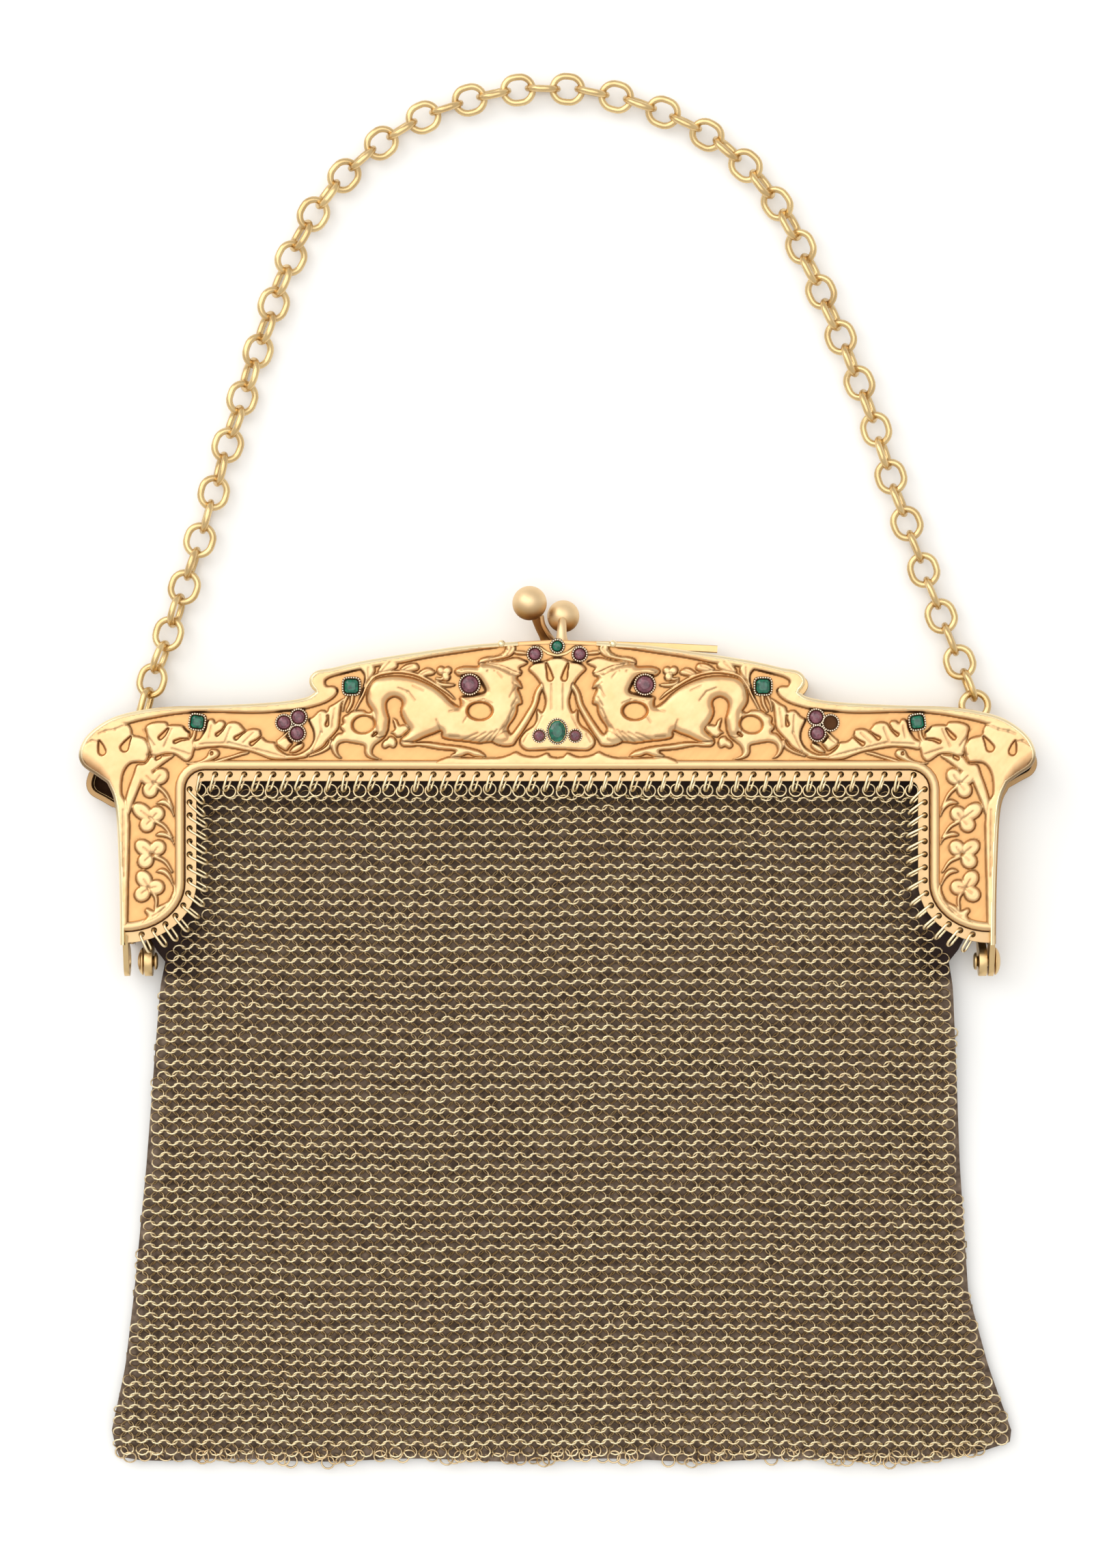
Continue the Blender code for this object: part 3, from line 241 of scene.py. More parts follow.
def sweep(line, profile):
    """A closed profile of (distance to the left, height) swept along an open line, with end caps."""
    side = normals_of(line)
    prof = np.asarray(profile, float)
    flat = line[:, None, :2] + side[:, None, :] * prof[None, :, :1]
    high = np.broadcast_to(prof[None, :, 1:], (len(line), len(prof), 1))
    verts = np.concatenate([flat, high], axis=2).reshape(-1, 3)
    return verts, quads_between(len(line), len(prof)).tolist() + end_caps(len(line), len(prof))


def turned(profile, sides):
    """A solid turned about Z from (radius, height) rows; a radius of 0 closes an end."""
    prof = np.asarray(profile, float)
    a = np.arange(sides) * 2 * np.pi / sides
    high = np.repeat(prof[:, 1:], sides, axis=1)
    verts = np.stack([np.outer(prof[:, 0], np.cos(a)), np.outer(prof[:, 0], np.sin(a)), high], axis=-1)
    return verts.reshape(-1, 3), quads_between(len(prof), sides)[:, OTHER_WAY]


def sphere(radius, rows, sides):
    return turned(arc(0, np.pi, rows)[:, ::-1] * radius, sides)


def tube(path, radii, sides):
    """A round tube along a line in space, with its own radius at each point and closed ends."""
    ahead = unit(np.gradient(path, axis=0))
    guide = np.array([0.0, 0.0, 1.0])
    u = unit(np.cross(guide, ahead))
    v = np.cross(ahead, u)
    a = np.arange(sides) * 2 * np.pi / sides
    radii = np.broadcast_to(radii, len(path))
    ring = u[:, None] * np.cos(a)[None, :, None] + v[:, None] * np.sin(a)[None, :, None]
    verts = (path[:, None] + ring * radii[:, None, None]).reshape(-1, 3)
    faces = quads_between(len(path), sides)[:, OTHER_WAY]
    return verts, faces.tolist() + end_caps(len(path), sides)


def rings(centres, along, across, length, width, wire, around=12, section=3, phase=0.0):
    """Many wire rings at once: each has a centre and two unit axes, and all have one shape."""
    normal = np.cross(along, across)
    a = np.arange(around) * 2 * np.pi / around + phase
    b = np.arange(section) * 2 * np.pi / section
    ca, sa = np.cos(a), np.sin(a)
    core = width / 2 - wire / 2
    stretch = (length - width) / 2
    radial = core + (wire / 2) * np.cos(b)[None, :]
    x = radial * ca[:, None] + np.sign(np.round(ca, 6))[:, None] * stretch
    y = radial * sa[:, None]
    z = np.broadcast_to((wire / 2) * np.sin(b)[None, :], x.shape)
    local = np.stack([x, y, z], axis=-1).reshape(1, -1, 3)
    verts = centres[:, None, :] + local[..., :1] * along[:, None, :] + local[..., 1:2] * across[:, None, :]
    verts = verts + local[..., 2:3] * normal[:, None, :]
    i, j = np.meshgrid(np.arange(around), np.arange(section), indexing="ij")
    i2, j2 = (i + 1) % around, (j + 1) % section
    quad = np.stack([i * section + j, i2 * section + j, i2 * section + j2, i * section + j2], axis=-1)
    faces = quad.reshape(1, -1, 4) + (np.arange(len(centres)) * around * section)[:, None, None]
    return verts.reshape(-1, 3), faces.reshape(-1, 4)


def joined(parts):
    """Several sets of points and faces as one."""
    verts, faces, base = [], [], 0
    for part_verts, part_faces in parts:
        verts.append(part_verts)
        faces += (np.asarray(part_faces) + base).tolist()
        base += len(part_verts)
    return np.vstack(verts), faces



# %% [markdown]
# ## Materials
# Two shared effects are node groups. "Hand polish" varies roughness and colour in soft patches.
# "Cast grain" gives the fine height of cast metal. The metal shaders stay in each material.

# %% Shared effects as node groups
# Scale, detail and roughness of the noises
PATCH_NOISE = (260, 4)
FINE_NOISE = (1500, 3)
GRAIN_NOISE = (2600, 5, 0.65)
CLOUD_NOISE = (1400, 2)
WEAVE_NOISE = (700, 3)


def new_group(name, inputs, outputs):
    group = bpy.data.node_groups.new(name, "ShaderNodeTree")
    for label, kind, value in inputs:
        socket = group.interface.new_socket(label, in_out="INPUT", socket_type=kind)
        socket.default_value = value
    for label, kind in outputs:
        group.interface.new_socket(label, in_out="OUTPUT", socket_type=kind)
    return group, group.nodes.new("NodeGroupInput").outputs, group.nodes.new("NodeGroupOutput").inputs


def feed(tree, socket, value):
    """Links an output to the socket, or sets the socket to a plain value."""
    if hasattr(value, "node"):
        tree.links.new(value, socket)
    else:
        socket.default_value = value


def noise(tree, scale, detail, roughness=0.55):
    """Noise in the object's own space."""
    coords = tree.nodes.new("ShaderNodeTexCoord")
    node = tree.nodes.new("ShaderNodeTexNoise")
    for label, value in (("Scale", scale), ("Detail", detail), ("Roughness", roughness)):
        node.inputs[label].default_value = value
    tree.links.new(coords.outputs["Object"], node.inputs["Vector"])
    return node.outputs["Fac"]


def map_range(tree, source, low, high, to_low, to_high):
    node = tree.nodes.new("ShaderNodeMapRange")
    for label, value in (("From Min", low), ("From Max", high), ("To Min", to_low), ("To Max", to_high)):
        node.inputs[label].default_value = value
    tree.links.new(source, node.inputs["Value"])
    return node.outputs["Result"]


def calculate(tree, operation, *values):
    node = tree.nodes.new("ShaderNodeMath")
    node.operation = operation
    for socket, value in zip(node.inputs, values):
        feed(tree, socket, value)
    return node.outputs[0]


def mix(tree, factor, first, second, kind="RGBA"):
    node = tree.nodes.new("ShaderNodeMix")
    node.data_type = kind
    for label, value in (("Factor", factor), ("A", first), ("B", second)):
        feed(tree, node.inputs[label], value)
    return node.outputs["Result"]


polish, given, wanted = new_group(
    "Hand polish",
    [("Colour", "NodeSocketColor", (1, 1, 1, 1)), ("Worn colour", "NodeSocketColor", (1, 1, 1, 1)),
     ("Amount", "NodeSocketFloat", 0.4), ("Roughness", "NodeSocketFloat", 0.25),
     ("Spread", "NodeSocketFloat", 0.1)],
    [("Colour", "NodeSocketColor"), ("Roughness", "NodeSocketFloat")],
)
patch = map_range(polish, noise(polish, *PATCH_NOISE), 0.35, 0.7, 0, 1)
worn_share = calculate(polish, "MULTIPLY", patch, given["Amount"])
feed(polish, wanted["Colour"], mix(polish, worn_share, given["Colour"], given["Worn colour"]))
fine = noise(polish, *FINE_NOISE)
uneven = calculate(polish, "MULTIPLY_ADD", fine, given["Spread"], given["Roughness"])
feed(polish, wanted["Roughness"], uneven)

grain, given, wanted = new_group(
    "Cast grain", [("Height", "NodeSocketFloat", 0.00002)], [("Height", "NodeSocketFloat")]
)
feed(grain, wanted["Height"], calculate(grain, "MULTIPLY", noise(grain, *GRAIN_NOISE), given["Height"]))
print("node groups:", [g.name for g in bpy.data.node_groups])


# %% [markdown]
# The gold comes in several tones: pale and polished on raised forms, a matte peach on the ground,
# rosier on the sewing flange, deeper on the chain, and an olive gold on the mesh whose ring tops are
# painted lighter and whose lower sides are painted darker, partly tarnish and partly painted shade.

# %% Kinds of material
def new_material(name):
    material = bpy.data.materials.new(name)
    material.use_nodes = True
    return material, material.node_tree, material.node_tree.nodes["Principled BSDF"]


def group_node(tree, group, values):
    node = tree.nodes.new("ShaderNodeGroup")
    node.node_tree = group
    for label, value in values.items():
        node.inputs[label].default_value = value
    return node.outputs


def attribute(tree, label):
    node = tree.nodes.new("ShaderNodeAttribute")
    node.attribute_name = label
    return node.outputs["Fac"]


def gold(name, colour, worn, amount, roughness, spread, grain_height, relief=None):
    """A gold with soft patches and cast grain; with relief it reads two attributes of the mesh."""
    material, tree, shader = new_material(name)
    shader.inputs["Metallic"].default_value = 1.0
    values = {"Colour": (*colour, 1), "Worn colour": (*worn, 1), "Amount": amount, "Roughness": roughness,
              "Spread": spread}
    polished = group_node(tree, polish, values)
    colour_out, rough_out = polished["Colour"], polished["Roughness"]
    if relief:
        ground, crease, ground_rough = relief
        # The first attribute picks the polished colour over the ground's; on balls and rings it paints their
        # lit tops. The second mixes in the crease colour: tarnish in hollows and painted shade.
        raised = attribute(tree, "raised")
        colour_out = mix(tree, raised, (*ground, 1), colour_out)
        colour_out = mix(tree, attribute(tree, "recess"), colour_out, (*crease, 1))
        rough_out = mix(tree, raised, ground_rough, rough_out, "FLOAT")
    feed(tree, shader.inputs["Base Color"], colour_out)
    feed(tree, shader.inputs["Roughness"], rough_out)
    if grain_height:
        bump = tree.nodes.new("ShaderNodeBump")
        bump.inputs["Distance"].default_value = 1.0
        feed(tree, bump.inputs["Height"], group_node(tree, grain, {"Height": grain_height})["Height"])
        feed(tree, shader.inputs["Normal"], bump.outputs["Normal"])
    return material


def stone(name, deep, light, roughness):
    """A cut stone: a deep colour that lightens where a facet looks away, under a clear hard surface."""
    material, tree, shader = new_material(name)
    # Painted light: the colour lightens at facets turned away from the view, standing for light that comes
    # back out of the stone.
    facing = tree.nodes.new("ShaderNodeLayerWeight")
    facing.inputs["Blend"].default_value = 0.35
    cloud = map_range(tree, noise(tree, *CLOUD_NOISE), 0.35, 0.75, 0.0, 0.7)
    amount = calculate(tree, "MULTIPLY_ADD", facing.outputs["Facing"], 0.9, cloud)
    feed(tree, shader.inputs["Base Color"], mix(tree, amount, (*deep, 1), (*light, 1)))
    values = {"Roughness": roughness, "IOR": 1.55, "Coat Weight": 0.25, "Coat Roughness": 0.03}
    for label, value in values.items():
        shader.inputs[label].default_value = value
    return material


def woven(name, dark, light, shaded, roughness):
    """A dull cloth with uneven threads, darker where the mesh's `shadow` attribute says so."""
    material, tree, shader = new_material(name)
    threads = map_range(tree, noise(tree, *WEAVE_NOISE), 0.35, 0.7, 0, 1)
    colour = mix(tree, threads, (*dark, 1), (*light, 1))
    feed(tree, shader.inputs["Base Color"], mix(tree, attribute(tree, "shadow"), colour, (*shaded, 1)))
    shader.inputs["Roughness"].default_value = roughness
    return material


# %% [markdown]
# A gold's values are its colour, its worn colour, the amount of wear, roughness, the spread of
# roughness and the height of the grain. Relief adds the ground's colour, the crease's, and the
# ground's roughness.

# %% Gold, stones and lining
PEACH = (0.80, 0.455, 0.19)
LOW_GRAIN, MID_GRAIN, HIGH_GRAIN = 0.000004, 0.000006, 0.000010
relief_gold = gold("relief_gold", (0.76, 0.525, 0.275), (0.75, 0.43, 0.20), 0.85, 0.28, 0.12, MID_GRAIN,
                   relief=(PEACH, (0.11, 0.04, 0.01), 0.5))
border_gold = gold("border_gold", (0.90, 0.77, 0.49), (0.86, 0.65, 0.38), 0.6, 0.26, 0.12, LOW_GRAIN,
                   relief=(PEACH, (0.17, 0.085, 0.035), 0.5))
rim_gold = gold("rim_gold", (0.74, 0.51, 0.265), (0.72, 0.45, 0.24), 0.6, 0.28, 0.12, LOW_GRAIN)
bead_gold = gold("bead_gold", (0.98, 0.90, 0.74), (0.92, 0.78, 0.55), 0.3, 0.2, 0.1, 0.0)
flange_gold = gold("flange_gold", (0.66, 0.465, 0.245), (0.62, 0.40, 0.215), 0.6, 0.38, 0.12, HIGH_GRAIN)
# The ball gold's ground and crease colours paint the shade on the balls' undersides.
ball_gold = gold("ball_gold", (0.82, 0.62, 0.37), (0.76, 0.53, 0.28), 0.4, 0.42, 0.10, 0.0,
                 relief=((0.42, 0.24, 0.09), (0.13, 0.055, 0.02), 0.5))
back_gold = gold("back_gold", (0.74, 0.54, 0.27), (0.66, 0.44, 0.20), 0.5, 0.32, 0.12, MID_GRAIN)
# The skirt gold's dark ground and crease colours are painted shade.
skirt_gold = gold("skirt_gold", (0.72, 0.52, 0.27), (0.62, 0.41, 0.19), 0.6, 0.32, 0.12, LOW_GRAIN,
                  relief=((0.40, 0.24, 0.11), (0.15, 0.075, 0.03), 0.5))
chain_gold = gold("chain_gold", (0.76, 0.56, 0.28), (0.52, 0.34, 0.15), 0.7, 0.22, 0.12, LOW_GRAIN)
mesh_gold = gold("mesh_gold", (0.98, 0.84, 0.55), (0.88, 0.68, 0.40), 0.7, 0.26, 0.14, 0.0,
                 relief=((0.47, 0.32, 0.165), (0.12, 0.07, 0.03), 0.36))
# A darker gold for the loose hem rings: painted shade.
hem_gold = gold("hem_gold", (0.84, 0.66, 0.40), (0.55, 0.38, 0.20), 0.9, 0.26, 0.14, 0.0)
# A darker copy of the mesh gold for the back layer and its sewing links: painted shade.
shaded_mesh_gold = gold("mesh_gold_in_painted_shade", (0.46, 0.35, 0.20), (0.34, 0.25, 0.14), 0.8, 0.34, 0.14, 0.0)
green_stone = stone("green_stone", (0.0, 0.035, 0.022), (0.0, 0.23, 0.12), 0.08)
red_stone = stone("red_stone", (0.075, 0.012, 0.022), (0.34, 0.11, 0.14), 0.12)
dark_gold = gold("dark_gold", (0.075, 0.032, 0.014), (0.11, 0.05, 0.022), 0.6, 0.45, 0.12, 0.0)
# A near-black gold for a sheet in the back half's trough: painted shade.
trough_shade_gold = gold("trough_shade_gold", (0.03, 0.013, 0.007), (0.06, 0.03, 0.015), 0.6, 0.5, 0.15, 0.0)
# The lining's dark colours are partly cloth and partly painted shade.
lining_and_shade = woven("lining_and_shade", (0.07, 0.045, 0.03), (0.22, 0.16, 0.115), (0.018, 0.006, 0.004), 0.9)
print("materials:", len(bpy.data.materials))

# %% [markdown]
# ## The frame's outlines
# Half of the outer edge is a short table, and its mirror image makes the other half.
# The window edge is a straight top, two tight corners, and legs that end in a rounded foot.

# %% Outer edge and window edge
CREST = ((0.0, 13.2), (12.0, 12.5), (21.5, 11.3), (30.0, 9.95), (35.4, 8.75))
NOSE = ((35.4, 8.75), (37.6, 8.35), (38.7, 7.5), (38.9, 6.5), (38.5, 5.6), (37.9, 5.0))
SHOULDER = ((37.9, 5.0), (39.6, 4.1), (44.2, 3.4), (53.3, 2.9), (60.5, 2.7), (65.6, 2.1), (70.1, 0.8),
            (73.6, -1.7), (75.0, -4.4), (74.5, -6.5), (72.3, -8.1), (70.6, -9.3))
LEG = ((70.6, -9.3), (69.6, -11.6), (69.1, -15.0), (68.8, -21.1), (68.6, -28.0), (68.55, LEG_END))


HALF_WIDTH = FRAME_WIDTH / 2
FADE_HEIGHT = 7.5  # over this height a lowered edge comes back to the front's


def mirror_line(half):
    """The half and its mirror image as one line, from left to right."""
    return np.vstack([half[:0:-1] * [-1, 1], half])


def outer_half(drop_crest=0.0, drop_shoulder=0.0, fade_end=-14.5):
    """The right half of the outer edge; for the back half, crest and shoulder can lie lower."""
    half = np.vstack([smooth(CREST, 8)[:-1], smooth(NOSE, 4)[:-1], smooth(SHOULDER, 5)[:-1], smooth(LEG, 4)])
    lowered = np.clip((half[:, 1] - fade_end) / FADE_HEIGHT, 0, 1)
    half[:, 1] -= (drop_crest + drop_shoulder * (half[:, 0] / HALF_WIDTH) ** 2) * lowered
    return half


def window_half():
    """The right half of the window's edge: top, tight corner, side, and the leg's rounded foot."""
    corner = 1.3
    foot_x, foot_start, foot_end = 67.9, -24.9, LEG_END + 0.3
    corner_x, corner_y = WINDOW_HALF - corner, WINDOW_TOP - corner
    top = np.column_stack([np.linspace(0, corner_x, 12)[:-1], np.full(11, WINDOW_TOP)])
    round_corner = arc(np.pi / 2, 0, 7) * corner + [corner_x, corner_y]
    side = np.column_stack([np.full(6, WINDOW_HALF), np.linspace(corner_y, foot_start, 8)[1:-1]])
    foot = [foot_x, foot_start] - arc(0, np.pi / 2, 13) * [foot_x - WINDOW_HALF, foot_start - foot_end]
    return np.vstack([top, round_corner, side, foot])


outer = mirror_line(outer_half())
window = mirror_line(window_half())
print("outer edge points:", len(outer), " window edge points:", len(window))

# %% [markdown]
# The border and its skirt are one rounded profile along the outer edge. The rim is another one,
# along the window. The flange between rim and window is flat and pierced for the mesh.

# %% Border, rim and pierced flange
BORDER = (
    (0, 4.7), (0, 9.0), (-0.06, 9.25), (-0.2, 9.44), (-0.42, 9.55), (-0.62, 9.5), (-0.76, 9.25),
    (-0.8, 8.8), (-0.8, 4.7),
)
RIM = (
    (1.88, 7.7), (1.9, 9.05), (1.98, 9.25), (2.2, 9.42), (2.55, 9.5), (2.9, 9.45), (3.2, 9.28),
    (3.34, 9.05), (3.35, 8.7), (2.4, 7.7),
)
LOW_BORDER = (
    (0, 4.7), (0, 8.8), (-0.06, 9.0), (-0.2, 9.08), (-0.42, 9.1), (-0.62, 9.08), (-0.76, 9.0),
    (-0.8, 8.8), (-0.8, 4.7),
)
RIM_SEAM = ((1.66, 8.25), (1.66, 8.35), (1.9, 8.36), (1.9, 8.25))
UNDER = np.array(((-75.2, -4.8), (-73.2, -6.0), (-71.6, -7.2), (-70.2, -9.0), (-69.3, -11.5), (-69.0, -14.0)))
CREST_TOP = 5.0  # above this height the outer edge belongs to the crest
CREST_MIDDLE = 6.4  # half width of the crest's middle, where the border is low
SHARP = 40  # degrees between faces that stay a sharp edge


def shade_below(x, y):
    """Painted shade under each shoulder, where the edge rolls away from the cloth."""
    below = np.interp(-np.abs(x), UNDER[:, 0], UNDER[:, 1]) - y
    return 0.8 * np.clip((below + 1.2) / 1.7, 0, 1) * (np.abs(x) > 68.9) * np.clip((y + 16.0) / 3.0, 0, 1)


middle = (outer[:, 1] > CREST_TOP) & (np.abs(outer[:, 0]) < CREST_MIDDLE)
first, last = np.nonzero(middle)[0][[0, -1]]
BORDER_PARTS = (
    # name, line, profile, brightness, replaced nodes
    ("front_border", outer[:first + 1], BORDER, 1.0, ["front_frame"]),
    ("crest_edge", outer[first:last + 1], LOW_BORDER, 0.15, ()),
    ("front_border_right", outer[last:], BORDER, 1.0, ()),
)
for name, part, profile, bright, replaces in BORDER_PARTS:
    verts, faces = sweep(part, profile)
    obj = add_piece(name, verts, faces, border_gold, "frame_gold", SHARP, replaces)
    # Under each shoulder the border gets painted shade.
    paint(obj, raised=bright, recess=shade_below(verts[:, 0], verts[:, 1]))
add_piece("rim_seam", *sweep(window, RIM_SEAM), dark_gold, "frame_gold")
add_piece("front_rim", *sweep(window, RIM), rim_gold, "frame_gold", SHARP)


def hole_centres():
    """The sewing holes: one row over the window top, and one down each leg and round its foot."""
    line = offset(window, 1.05)
    top = line[(line[:, 1] > WINDOW_TOP) & (np.abs(line[:, 0]) < WINDOW_HALF - 0.6)]
    right = line[(line[:, 0] > 0) & (line[:, 1] < WINDOW_TOP - 1.0)][:-2]
    left = line[(line[:, 0] < 0) & (line[:, 1] < WINDOW_TOP - 1.0)][2:]
    return even(top, 50), even(left, 14)[::-1], even(right, 14)


holes_top, holes_left, holes_right = hole_centres()
circle = arc(0, 2 * np.pi, 13)[:-1] * 0.47
all_holes = np.vstack([holes_top, holes_left, holes_right])
flange_loops = [strip(window, 0.0, window, 2.6), *(circle + c for c in all_holes)]
flat_plate("front_flange", flange_loops, 7.6, 8.3, 0.06, flange_gold, "frame_gold")
print("sewing holes:", len(all_holes))

# %% [markdown]
# ## The relief
# The cast foliage is a height map computed from a few tables of strokes and lobes.
# A stroke is a tapered line with (x, y, half width) rows; a lobe is a round pad.
# Leaves carry short engraved veins. The left half is listed, and its mirror image fills the right.

